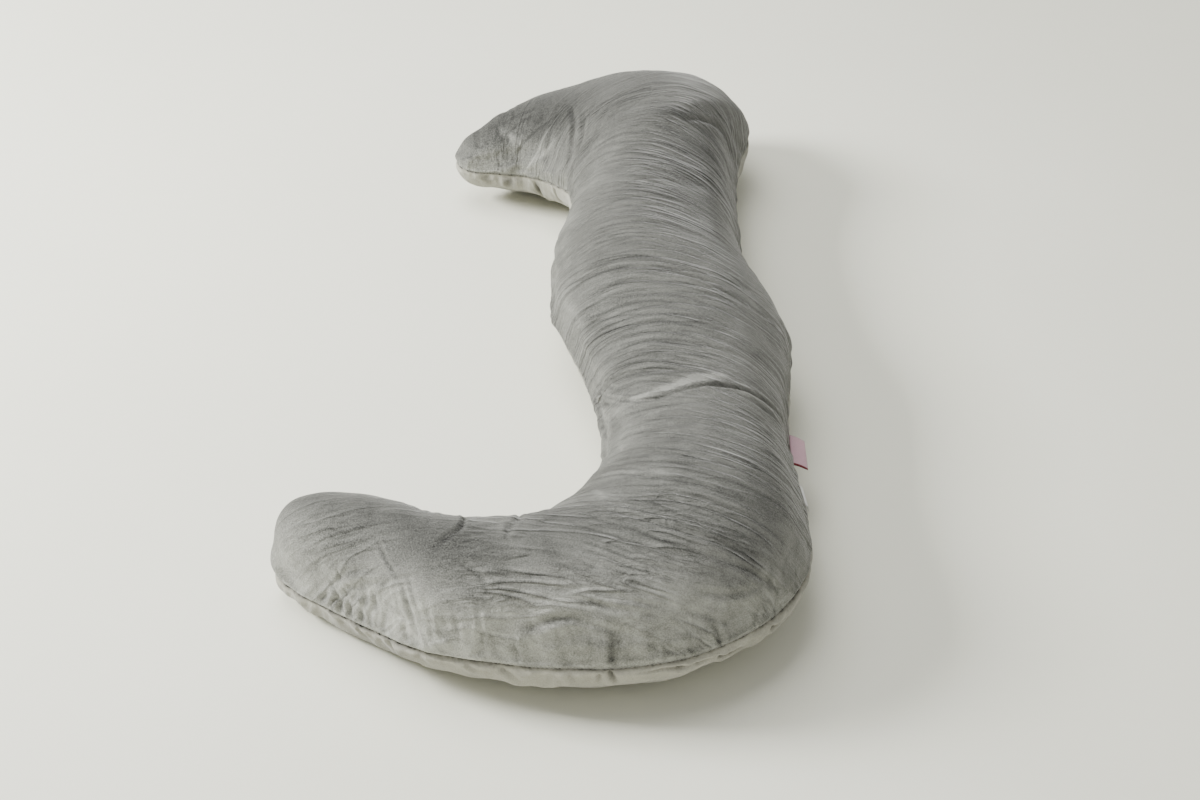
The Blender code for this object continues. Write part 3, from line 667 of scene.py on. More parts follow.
def crease_profile(aside):
    """A crease across its line: a narrow valley between two rounded shoulders."""
    off = np.abs(aside)
    return SHOULDER_HEIGHT * np.exp(-((off - SHOULDER_PLACE) ** 2)) - np.exp(-off ** VALLEY_ROUNDNESS)


def swelling_middle(part):
    """How strong a crease is at each part of its line: 1 in its middle, 0 at and beyond its ends."""
    return np.clip(1 - (2 * part - 1) ** 2, 0, 1)


def laid_out(cloth, rows, height):
    """A height at some stations, and none at the others."""
    whole = np.zeros(cloth.across.shape)
    whole[rows] = height
    return whole


def sweep_height(sweep, cloth):
    """A listed long crease."""
    rows = cloth.rows_near(min(sweep.along), max(sweep.along), LINE_MARGIN * sweep.width)
    part = (cloth.across[rows] - sweep.start) / (sweep.end - sweep.start)
    line = open_spline(np.array(sweep.along), np.clip(part, 0, 1) * (len(sweep.along) - 1))
    slope = (sweep.along[-1] - sweep.along[0]) / (sweep.end - sweep.start)
    lean = np.hypot(1, slope * cloth.stretch[rows] / cloth.width[rows])
    aside = (cloth.along[rows] - line) * cloth.stretch[rows] / (lean * sweep.width)
    return laid_out(cloth, rows, sweep.depth * swelling_middle(part) * crease_profile(aside))


def line_height(line, cloth, keen=0.0):
    """A listed short fold. A keen one is deepest at its start."""
    low, high = sorted((line.along, line.to_along))
    rows = cloth.rows_near(low, high, LINE_MARGIN * line.width)
    stretch = cloth.stretch[rows]
    dx = (cloth.along[rows] - line.along) * stretch
    dy = cloth.distance[rows] - line.across
    end_x = (line.to_along - line.along) * stretch
    end_y = line.to_across - line.across + 0 * end_x
    square = end_x ** 2 + end_y ** 2
    part = (dx * end_x + dy * end_y) / square
    aside = (dx * end_y - dy * end_x) / (np.sqrt(square) * line.width)
    reach = swelling_middle(part)
    if keen:
        reach = np.where(part > 0, np.clip(1 - part, 0, 1), np.clip(1 + part * keen, 0, 1))
    return laid_out(cloth, rows, line.depth * reach * crease_profile(aside))


def fold_spots(fold, cloth):
    """The stations near a fold's line, each point's distance from it in its half widths, and its
    strength there, which fades towards the line's ends."""
    places = np.array(fold.places)
    spans = (len(places) - 1) * FOLD_SPANS
    line = np.column_stack([open_spline(places[:, axis], np.linspace(0, len(places) - 1, spans + 1))
                            for axis in (0, 1)])
    line[:, 1] = np.maximum(line[:, 1], 0)
    rows = cloth.rows_near(line[:, 0].min(), line[:, 0].max(), FOLD_MARGIN * fold.width)
    stretch = cloth.stretch[rows]
    stations = np.round(line[:, 0] * (len(cloth.width) - 1)).astype(int)
    spots = line[:, 1] * cloth.width[stations, 0]
    off = np.full(stretch.shape, np.inf)
    part = np.zeros(stretch.shape)
    for number in range(spans):
        dx = (line[number, 0] - cloth.along[rows]) * stretch
        dy = spots[number] - cloth.distance[rows]
        end_x = (line[number + 1, 0] - line[number, 0]) * stretch
        end_y = spots[number + 1] - spots[number]
        share = np.clip(-(dx * end_x + dy * end_y) / (end_x ** 2 + end_y ** 2), 0, 1)
        away = np.hypot(dx + share * end_x, dy + share * end_y)
        part = np.where(away < off, (number + share) / spans, part)
        off = np.minimum(off, away)
    return rows, off / fold.width, swelling_middle(part) ** FOLD_FADE


def fold_height(fold, cloth):
    """A listed fold: how deep each point lies in the valley along its line."""
    rows, off, reach = fold_spots(fold, cloth)
    return laid_out(cloth, rows, fold.depth * reach * crease_profile(off))


def patch_share(patch, cloth):
    """A patch's share at each point, which fades round its middle."""
    dx = (cloth.along - patch.along) * cloth.stretch.mean() / patch.reach_along
    dy = (cloth.across - patch.across) * cloth.width / patch.reach_across
    return patch.share * np.exp(-dx ** 2 - dy ** 2)


def nap_and_light_patches(cloth):
    """How much paler than its surroundings the velvet is painted: patches of nap with painted light and
    shade, and pale marks of rubbed nap with a painted highlight.
    """
    worn, rubbed = np.zeros((2, *cloth.across.shape))
    for patch in WEAR_AND_LIGHT:
        worn += patch_share(patch, cloth)
    for pale_mark in RUBS_AND_HIGHLIGHTS:
        rows, off, reach = fold_spots(pale_mark, cloth)
        rubbed[rows] += pale_mark.depth * reach * np.exp(-off ** 2)
    return worn, rubbed


def seam_shade_and_highlight(cloth):
    """How much paler or darker the cloth is painted beside the seam: painted shade in its groove and a
    painted highlight on its rolled edge, made uneven by puckers.
    """
    groove_shade = HEM_GROOVE_SHADE * np.exp(-(cloth.to_seam / HEM_GROOVE_REACH) ** 2)
    edge = HEM_EDGE_HIGHLIGHT * np.exp(-((cloth.to_seam - HEM_EDGE_PLACE) / HEM_EDGE_REACH) ** 2)
    uneven = np.ones(cloth.across.shape)
    for pitch, share in HEM_PUCKERS:
        turn = 2 * math.pi * cloth.seam_run / pitch
        phase = turn
        for far, slow in PUCKER_DRIFTS:
            phase = phase + far * np.sin(slow * turn)
        uneven += share * np.sin(phase)
    return (edge - groove_shade * np.clip(uneven, *PUCKER_LIMITS)) + edge * (uneven - 1)


def fan_folds(random):
    """The near crook's fan of folds, with finer ones laid between them."""
    folds = list(FAN)
    for one, two in zip(FAN, FAN[1:]):
        for number in range(FAN_FILL):
            share = (number + random.uniform(*FAN_BETWEEN)) / FAN_FILL
            places = np.array(one.places) * (1 - share) + np.array(two.places) * share
            start = random.uniform(*FAN_STARTS)
            steps = np.clip(start + np.linspace(0, random.uniform(*FAN_LENGTHS), 3), *FAN_LIMITS)
            line = np.column_stack([open_spline(places[:, axis], steps) for axis in (0, 1)])
            line[1] += (FAN_STRAY[0] * random.normal(), FAN_STRAY[1] * random.normal())
            folds.append(Fold(FAN_FILL_WIDTH * random.uniform(*FAN_WIDTHS),
                              FAN_FILL_DEPTH * random.uniform(*FAN_DEPTHS), tuple(map(tuple, line))))
    return folds


def zone_height(zone, cloth, random):
    """A zone's fine creases, spaced roughly evenly along the pillow."""
    height = np.zeros(cloth.across.shape)
    for number in range(zone.count):
        step = (number + 0.5 + random.uniform(-ZONE_JITTER, ZONE_JITTER)) / zone.count
        middle = zone.start + (zone.end - zone.start) * step
        place = zone.place + zone.spread * random.uniform(-1, 1)
        half = 0.5 * zone.length * random.uniform(*ZONE_LENGTHS)
        width = zone.width * random.uniform(*CREASE_WIDTHS)
        depth = zone.depth * random.uniform(*ZONE_DEPTHS)
        slant = zone.slant + ZONE_TURN * random.normal()
        phase = random.uniform(0, 2 * math.pi)
        turns = random.uniform(*WANDER_WAVES)
        rows = cloth.rows_near(middle - ZONE_SPAN, middle + ZONE_SPAN, 0)
        off = cloth.across[rows] - 0.5
        line = middle + slant * off + zone.bend * off ** 2
        wobble = CREASE_WANDER * np.sin(phase + turns * math.pi * off)
        lean = np.hypot(1, slant * cloth.stretch[rows] / cloth.width[rows])
        aside = ((cloth.along[rows] - line) * cloth.stretch[rows] / lean - wobble) / width
        reach = np.clip(1 - ((off + 0.5 - place) / half) ** 2, 0, 1)
        height[rows] += depth * reach * crease_profile(aside)
    return height


def patch_height(patch, cloth, random):
    """A crumpled patch: short folds in all directions."""
    height = np.zeros(cloth.across.shape)
    stretch = cloth.stretch.mean()
    for _ in range(patch.count):
        middle = patch.along + patch.reach_along * random.uniform(-1, 1) / stretch
        shift = patch.reach_across * random.uniform(-1, 1)
        half = 0.5 * patch.length * random.uniform(*PATCH_LENGTHS)
        width = patch.width * random.uniform(*CREASE_WIDTHS)
        depth = patch.depth * random.uniform(*PATCH_DEPTHS)
        heading = random.uniform(0, math.pi)
        bow = PATCH_BOW * half * random.uniform(-1, 1)
        rows = cloth.rows_near(middle, middle, half + PATCH_MARGIN * width)
        dx = (cloth.along[rows] - middle) * cloth.stretch[rows]
        dy = cloth.distance[rows] - patch.across * cloth.width[rows] - shift
        part = (dx * math.cos(heading) + dy * math.sin(heading)) / half
        reach = np.clip(1 - part ** 2, 0, 1)
        aside = (-dx * math.sin(heading) + dy * math.cos(heading) - bow * reach) / width
        height[rows] += depth * reach * crease_profile(aside)
    return height


def soft_noise(points, size, random):
    """Smooth noise between -1 and 1 over points, with features of about the given size."""
    places = points / size
    low = np.floor(places).astype(int)
    share = places - low
    share = share * share * share * (share * (6 * share - 15) + 10)
    low -= low.reshape(-1, 3).min(axis=0)
    table = random.uniform(-1, 1, low.reshape(-1, 3).max(axis=0) + 2)
    total = np.zeros(points.shape[:-1])
    for corner in np.ndindex(2, 2, 2):
        weight = np.prod(np.where(corner, share, 1 - share), axis=-1)
        place = low + np.array(corner)
        total += weight * table[place[..., 0], place[..., 1], place[..., 2]]
    return total


def rest_on_floor(height):
    """Everything below the floor is pressed flat, with a round start."""
    eased = (height + FLOOR_EASE) ** 2 / (4 * FLOOR_EASE)
    return np.where(height < -FLOOR_EASE, 0.0, np.where(height < FLOOR_EASE, eased, height))


def column(name, at):
    """One named column of the section table, read at the section places in at."""
    return open_spline(np.array([getattr(section, name) for section in SECTIONS]), at)


def seam_height(at):
    """Height of the stitch line, which strays a little."""
    random = np.random.default_rng(SEED + 2)
    outer, _ = seam_rails(at)
    places = np.column_stack([outer, 0 * at])
    return column("seam", at) + SEAM_WAVER * soft_noise(places, SEAM_WAVER_SIZE, random)


def bay_side(at):
    """1 where the inner seam is rolled under by the bay, 0 elsewhere, with soft ends."""
    share = at / (len(SECTIONS) - 1)
    return 1 / (1 + np.exp(-(share - BAY_START) / BAY_EASE)) / (1 + np.exp((share - BAY_END) / BAY_EASE))


def bare_panel(at, up, across):
    """The smooth panel: a grid of points from the outer seam to the inner one."""
    outer, inner = seam_rails(at)
    stand = np.maximum(column("crown" if up > 0 else "belly", at), 0)
    even = np.linspace(0, 2 * math.pi, across + 1)
    turn = (even - (UPPER_CROWDING if up > 0 else LOWER_CROWDING) * np.sin(even)) / 2
    side = np.cos(turn)
    taper = np.ones((len(at), across + 1))
    if up < 0:
        taper += UNDERSIDE_TAPER - 1 + INNER_TAPER * bay_side(at)[:, None] * (side < 0)
    share = ((1 - np.sign(side) * np.abs(side) ** taper) / 2)[..., None]
    plan = outer[:, None] * (1 - share) + inner[:, None] * share
    height = seam_height(at)[:, None] + up * stand[:, None] * np.sin(turn)
    return np.dstack([plan, height])


def slow_unevenness(grid, high, random):
    """The filling's lumps, of a given height, and its ripples."""
    lumps = high * soft_noise(grid, LUMP_SIZE, random)
    return lumps + RIPPLE_HEIGHT * soft_noise(grid, RIPPLE_SIZE, random)


def upper_panel_form(at, settling, sizes):
    """Upper panel's points, what tints its cloth at each of them, and their places on the cloth."""
    random = np.random.default_rng(SEED)
    grid = bare_panel(at, 1, UPPER_ACROSS)
    cloth = Cloth(grid)
    fade = np.minimum(cloth.to_seam / UPPER_FADE, 1)
    creases = np.zeros(cloth.across.shape)
    for sweep in SWEEPS:
        creases += sweep_height(sweep, cloth)
    for fold in FOLDS + fan_folds(random):
        creases += sizes.fold_depth * fold_height(fold._replace(width=FOLD_WIDENING * fold.width), cloth)
    for zone in ZONES:
        creases += zone_height(zone, cloth, random)
    for patch in PATCHES:
        creases += patch_height(patch, cloth, random)
    lumps = slow_unevenness(grid, sizes.lump_height, random)
    lift = seam_swell(cloth, UPPER_GATHERED, sizes.seam_swell) + fade * (creases + lumps)
    grid = grid + surface_normals(grid, 1) * lift[..., None] + settling
    worn, rubbed = nap_and_light_patches(cloth)
    tones = {"crease": fade * creases, "hem": seam_shade_and_highlight(cloth), "worn": worn, "rubbed": rubbed}
    return grid, tones, fan_spread(grid, cloth)


def fan_spread(grid, cloth):
    """Places on the cloth along and across its brushing, which turns at the near crook."""
    side = grid[..., 0]
    sideways = grid[..., 1] + FAN_SLANT * side + FAN_BOW * side ** 2 + FAN_DROP * grid[..., 2]
    turned = np.dstack([FAN_FROM * cloth.stretch.mean() + FAN_LEVEL - sideways, FAN_SIDE - side])
    share = np.clip((cloth.along - FAN_FROM + FAN_EASE) / (2 * FAN_EASE), 0, 1)
    share = (share ** 2 * (3 - 2 * share))[..., None]
    off = cloth.across - 0.5
    table = np.array(LEANS)
    lean, bow = (np.interp(cloth.along, table[:, 0], table[:, axis]) for axis in (1, 2))
    level = (cloth.along - lean * off - bow * off ** 2) * cloth.stretch.mean()
    return np.dstack([level, cloth.distance]) * (1 - share) + turned * share


def lower_panel_form(at, settling, sizes):
    """The same of the lower panel, which is pressed flat on the floor."""
    random = np.random.default_rng(SEED + 1)
    grid = bare_panel(at, -1, LOWER_ACROSS)
    cloth = Cloth(grid)
    fade = np.minimum(cloth.to_seam / LOWER_FADE, 1)
    creases = np.zeros(cloth.across.shape)
    for tuck in TUCKS:
        creases += line_height(tuck, cloth, TUCK_KEENNESS)
    for tuck in INNER_TUCKS:
        whole = cloth.width[round(tuck.along * (len(grid) - 1)), 0]
        creases += line_height(tuck._replace(across=whole - tuck.across, to_across=whole - tuck.to_across),
                               cloth)
    lumps = slow_unevenness(grid, 0.5 * sizes.lump_height, random)
    hidden = bay_side(at)[:, None] * (cloth.across > 0.5)
    lip = LIP * np.exp(-((cloth.along - LIP_PLACE) / LIP_LENGTH) ** 2) * (cloth.across < 0.5)
    lip = lip * fade * np.exp(-(cloth.to_seam / LIP_REACH) ** 2)
    swell = seam_swell(cloth, LOWER_GATHERED, sizes.seam_swell)
    lift = swell * (1 - hidden) + lip + fade * (creases + lumps)
    grid = grid + surface_normals(grid, -1) * lift[..., None] + settling
    grid[..., 2] = rest_on_floor(grid[..., 2])
    # Painted light and shade along the plush, on top of the seam's painted shade and highlight
    along, pale = np.array(PLUSH_PAINTED_LIGHT).T
    hem = seam_shade_and_highlight(cloth) + np.interp(cloth.along, along, pale)
    return grid, {"crease": fade * creases, "hem": hem}, cloth.spread


def averaged(field, reach):
    """A field of the grid with each point averaged over its neighbours, twice."""
    for _ in range(2):
        for axis in (0, 1):
            edged = np.pad(field, [(reach, reach) if k == axis else (0, 0) for k in range(field.ndim)],
                           mode="edge")
            total = np.cumsum(edged, axis=axis)
            first = np.take(total, [0], axis=axis) * 0
            total = np.concatenate([first, total], axis=axis)
            size = 2 * reach + 1
            count = field.shape[axis]
            field = (np.take(total, range(size, size + count), axis=axis)
                     - np.take(total, range(count), axis=axis)) / size
    return field


def finer(field, stations, across):
    """A coarse grid's field, read at the places of a finer grid."""
    for axis, count in ((0, stations), (1, across + 1)):
        size = field.shape[axis]
        at = np.linspace(0, size - 1, count)
        low = np.clip(np.floor(at).astype(int), 0, size - 2)
        shape = [1] * field.ndim
        shape[axis] = count
        share = (at - low).reshape(shape)
        field = np.take(field, low, axis=axis) * (1 - share) + np.take(field, low + 1, axis=axis) * share
    return field


def grid_faces(number):
    """Four-sided faces between neighbours in a table of point numbers."""
    corners = (number[:-1, :-1], number[1:, :-1], number[1:, 1:], number[:-1, 1:])
    return np.stack(corners, axis=-1).reshape(-1, 4)


def ring_faces(stations, around):
    """Faces of a closed tube of rings of points, whose first and last ring are one point each."""
    ring = np.arange((stations - 2) * around).reshape(stations - 2, around) + 1
    closed = np.concatenate([ring, ring[:, :1]], axis=1)
    end = (stations - 2) * around + 1
    faces = [(0, int(one), int(two)) for one, two in zip(closed[0], closed[0, 1:])]
    faces += [tuple(face) for face in grid_faces(closed).tolist()]
    faces += [(int(one), end, int(two)) for one, two in zip(closed[-1], closed[-1, 1:])]
    return faces


def tube_points(rings):
    """The points that ring_faces joins: all rings, the first and last as one point each."""
    return np.concatenate([rings[:1, 0], rings[1:-1].reshape(-1, rings.shape[2]), rings[-1:, 0]])


def new_mesh(name, points, faces):
    """A mesh from arrays of points and lists of faces."""
    mesh = bpy.data.meshes.new(name)
    mesh.from_pydata(points.tolist(), [], faces)
    return mesh


def new_object(name, data):
    """An object for a mesh, lamp or camera, put into the scene."""
    thing = bpy.data.objects.new(name, data)
    bpy.context.scene.collection.objects.link(thing)
    return thing


def settled_cloth():
    """How the filling's pressure moves slack cloth, pinned at the seam: one field for each panel."""
    at = even_stations(SETTLE_STATIONS)
    upper = bare_panel(at, 1, SETTLE_UPPER)
    lower = bare_panel(at, -1, SETTLE_LOWER)
    lower[..., 2] = rest_on_floor(lower[..., 2])
    rings = np.concatenate([upper, lower[:, -2:0:-1]], axis=1)
    around = rings.shape[1]
    points = tube_points(rings)
    cloth = new_object("settling", new_mesh("settling", points, ring_faces(SETTLE_STATIONS, around)))
    pins = np.zeros((SETTLE_STATIONS - 2, around), dtype=bool)
    pins[:, [0, SETTLE_UPPER]] = True
    pins |= rings[1:-1, :, 2] <= 0
    held = cloth.vertex_groups.new(name="held")
    held.add([0, len(points) - 1] + (np.flatnonzero(pins.ravel()) + 1).tolist(), 1.0, "REPLACE")
    modifier = cloth.modifiers.new("Cloth", "CLOTH")
    for name, value in SETTLE_CLOTH.items():
        setattr(modifier.settings, name, value)
    modifier.settings.effector_weights.gravity = 0.0
    modifier.settings.vertex_group_mass = held.name
    modifier.collision_settings.use_collision = False
    modifier.point_cache.frame_end = SETTLE_FRAMES
    for frame_number in range(1, SETTLE_FRAMES + 1):
        bpy.context.scene.frame_set(frame_number)
    shaped = cloth.evaluated_get(bpy.context.evaluated_depsgraph_get()).to_mesh()
    moved = np.empty(3 * len(points))
    shaped.vertices.foreach_get("co", moved)
    shift = moved.reshape(-1, 3) - points
    bpy.context.scene.frame_set(1)
    bpy.data.objects.remove(cloth)
    rings_shift = np.zeros(rings.shape)
    rings_shift[1:-1] = shift[1:-1].reshape(SETTLE_STATIONS - 2, around, 3)
    fields = []
    panels = ((upper, range(SETTLE_UPPER + 1)), (lower, [0] + list(range(around - 1, SETTLE_UPPER - 1, -1))))
    for grid, columns in panels:
        near_seam = np.exp(-(Cloth(grid).to_seam / SETTLE_REACH) ** 2)[..., None]
        field = rings_shift[:, list(columns)] * SETTLE_SHARE * near_seam
        field = field - averaged(field, SETTLE_EVEN)
        size = np.linalg.norm(field, axis=2, keepdims=True)
        field = field * np.minimum(1, SETTLE_CAP / np.maximum(size, SMALLEST_NORMAL))
        field[:, [0, -1]] = 0
        fields.append(field)
    return fields


def add_piece(name, points, faces, finish, spread=None, fields=(), mend=False):
    """A piece from its points and faces. spread holds the points' places on the cloth, and fields
    what tints them. mend turns the faces outwards."""
    mesh = new_mesh(name, points, faces)
    for attribute in fields:
        values = fields[attribute].astype(np.float32)
        mesh.attributes.new(attribute, "FLOAT", "POINT").data.foreach_set("value", values)
    if spread is not None:
        corners = np.empty(len(mesh.loops), dtype=np.int32)
        mesh.loops.foreach_get("vertex_index", corners)
        mesh.uv_layers.new(name="cloth").data.foreach_set("uv", spread[corners].astype(np.float32).ravel())
    if mend:
        form = bmesh.new()
        form.from_mesh(mesh)
        bmesh.ops.recalc_face_normals(form, faces=form.faces)
        form.to_mesh(mesh)
        form.free()
    mesh.update()
    mesh.shade_smooth()
    mesh.materials.append(finish)
    return new_object(name, mesh)


def panel_piece(name, form, offset, finish, flip):
    """A closed panel: its grid, and a plain membrane between its seams, hidden inside."""
    grid, tones, spread = form
    grid = grid + offset
    stations, around = grid.shape[:2]
    faces = ring_faces(stations, around)
    if flip:
        faces = [face[::-1] for face in faces]
    # How far each point faces the front: its slow part paints the velvet paler as painted light with the
    # pile's lean, the rest paints small slopes with shade and highlight
    facing = surface_normals(grid, -1 if flip else 1) @ np.array(NAP_AND_LIGHT_SIDE)
    nap = averaged(facing, NAP_EVEN)
    fields = {"nap": nap, "tilt": facing - nap, **tones}
    for attribute, table in (("brushed", BRUSHED), ("crumpled", CRUMPLED)):
        along, strength = np.array(table).T
        fields[attribute] = np.interp(np.linspace(0, 1, stations), along, strength)[:, None] + 0 * nap
    fields["crumpled"] *= 1 - patch_share(CALM, Cloth(grid))
    for attribute, field in fields.items():
        fields[attribute] = np.concatenate([[0], field[1:-1].ravel(), [0]])
    return add_piece(name, tube_points(grid), faces, finish, tube_points(spread), fields)


def pillow_offset(upper, lower):
    """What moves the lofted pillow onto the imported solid: the middles of their outlines agree."""
    low, high = np.array(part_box("pillow_body"))
    both = np.concatenate([upper.reshape(-1, 3), lower.reshape(-1, 3)])
    shift = (low + high) / 2 - (both.min(axis=0) + both.max(axis=0)) / 2
    return np.array([shift[0], shift[1], 0.0])


def seam_runs():
    """Section places along the pillow, and each seam's length up to them: outer, then inner."""
    fine = even_stations(FINE_STATIONS)
    return fine, [run_of(steps) for steps in rail_steps(fine)]


def tape_rows(label, offset):
    """Middle surface of a folded tape: out of the seam, round its fold and back."""
    fine, (run, _) = seam_runs()
    middle = run[round(label.along * (FINE_STATIONS - 1))]
    places = middle + np.linspace(-0.5, 0.5, LABEL_STEPS + 1) * label.width
    sections = np.interp(places, run, fine)
    plan, _ = seam_rails(sections)
    seam = np.column_stack([plan, seam_height(sections)]) + offset
    forward = np.gradient(plan, axis=0)
    forward /= np.linalg.norm(forward, axis=1, keepdims=True)
    outward = np.column_stack([-forward[:, 1], forward[:, 0], np.zeros(len(forward))])
    waves = np.sin(np.linspace(*LABEL_RIPPLE_TURN, len(seam)))
    level, drop = LABEL_START, 0.0
    path = []
    for share in np.linspace(0, 1, LABEL_STEPS + 1):
        angle = math.radians(label.dip + (label.curl - label.dip) * share)
        path.append((level, drop, angle, share))
        level += label.reach / LABEL_STEPS * math.cos(angle)
        drop += label.reach / LABEL_STEPS * math.sin(angle)
    turned = [(spot, 1) for spot in path] + [(spot, -1) for spot in path[::-1]]
    rows = []
    for (level, drop, angle, share), side in turned:
        apart = side * LABEL_GAP / 2 * (1 - share ** LABEL_ROUNDNESS)
        place = seam + (level + apart * math.sin(angle)) * outward
        place[:, 2] += apart * math.cos(angle) - drop + label.ripple * waves * share
        rows.append(place)
    return np.array(rows)


def tape_piece(label, offset, finish):
    """A folded label given its cloth's thickness, closed round its cut edges."""
    rows = tape_rows(label, offset)
    count, wide = rows.shape[:2]
    normal = unit_normals(rows)
    points = np.concatenate([(rows + side * normal * LABEL_THICKNESS / 2).reshape(-1, 3) for side in (1, -1)])
    number = np.arange(count * wide).reshape(count, wide)
    quads = grid_faces(number)
    rim = np.concatenate([number[0], number[1:, -1], number[-1, -2::-1], number[-2:0:-1, 0]])
    after = np.roll(rim, -1)
    sides = np.column_stack([rim, after, after + count * wide, rim + count * wide])
    faces = np.concatenate([quads, (quads + count * wide)[:, ::-1], sides]).tolist()
    spread = np.dstack(np.broadcast_arrays(np.linspace(0, 1, wide)[None, :] * label.width,
                                           np.linspace(0, 2, count)[:, None] * label.reach))
    spread = np.concatenate([spread.reshape(-1, 2)] * 2)
    return add_piece(label.name + "_tape", points, faces, finish, spread, mend=True)


def stitch_places(sizes):
    """Middle and heading of every stitch, round the whole seam."""
    fine, runs = seam_runs()
    height = seam_height(fine)
    spots, headings = [], []
    for rail, run in zip(seam_rails(fine), runs):
        points = np.column_stack([rail, height]) + np.array(sizes.shift)
        count = int((run[-1] - 2 * STITCH_MARGIN) / sizes.stitch_pitch)
        places = STITCH_MARGIN + sizes.stitch_pitch * np.arange(count)
        ends = [np.column_stack([np.interp(places + shift, run, points[:, axis]) for axis in range(3)])
                for shift in (-sizes.stitch_length / 2, sizes.stitch_length / 2)]
        spots.append((ends[0] + ends[1]) / 2)
        headings.append(ends[1] - ends[0])
    return np.concatenate(spots), np.concatenate(headings)


def stitch_piece(sizes, finish):
    """The seam's stitches: small round-ended rods lying in the groove."""
    spots, headings = stitch_places(sizes)
    length, thickness = sizes.stitch_length, sizes.stitch_radius
    turn = np.linspace(0, 2 * math.pi, STITCH_SIDES, endpoint=False)
    points, faces = [], []
    for spot, heading in zip(spots, headings):
        ahead = heading / np.linalg.norm(heading)
        aside = np.cross(ahead, (0.0, 0.0, 1.0))
        aside /= np.linalg.norm(aside)
        above = np.cross(aside, ahead)
        first = len(points)
        for share, radius in STITCH_RINGS:
            for angle in turn:
                around = aside * math.cos(angle) + above * math.sin(angle)
                points.append(spot + ahead * share * length + around * radius * thickness)
        start = len(points)
        points += [spot - ahead * 0.5 * length, spot + ahead * 0.5 * length]
        last = start - STITCH_SIDES
        for side in range(STITCH_SIDES):
            after = (side + 1) % STITCH_SIDES
            for low in range(first, last, STITCH_SIDES):
                faces.append((low + side, low + after, low + STITCH_SIDES + after, low + STITCH_SIDES + side))
            faces += [(start, first + after, first + side), (start + 1, last + side, last + after)]
    return add_piece("seam_stitches", np.array(points), faces, finish, mend=True)


def plug(socket, value):
    """Gives a shader socket its value: links it, or sets a plain one."""
    if isinstance(value, Wire):
        socket.id_data.links.new(value.socket, socket)
    else:
        socket.default_value = value


class Wire:
    """A shader value that takes part in arithmetic, each step adding a Math node."""

    def __init__(self, socket):
        self.socket = socket

    def math(self, operation, *values):
        node = self.socket.id_data.nodes.new("ShaderNodeMath")
        node.operation = operation
        for slot, value in zip(node.inputs, values):
            plug(slot, value)
        return Wire(node.outputs[0])

    def __add__(self, other):
        return self.math("ADD", self, other)

    def __radd__(self, other):
        return self.math("ADD", other, self)

    def __sub__(self, other):
        return self.math("SUBTRACT", self, other)

    def __rsub__(self, other):
        return self.math("SUBTRACT", other, self)

    def __mul__(self, other):
        return self.math("MULTIPLY", self, other)

    def __rmul__(self, other):
        return self.math("MULTIPLY", other, self)

    def __pow__(self, other):
        return self.math("POWER", self, other)

    def __rpow__(self, other):
        return self.math("POWER", other, self)

    def about(self, width):
        """A noise's waves about zero, made this wide."""
        return (self - 0.5) * width

    def clamp(self, low=0.0, high=1.0):
        return self.math("MINIMUM", self.math("MAXIMUM", self, low), high)


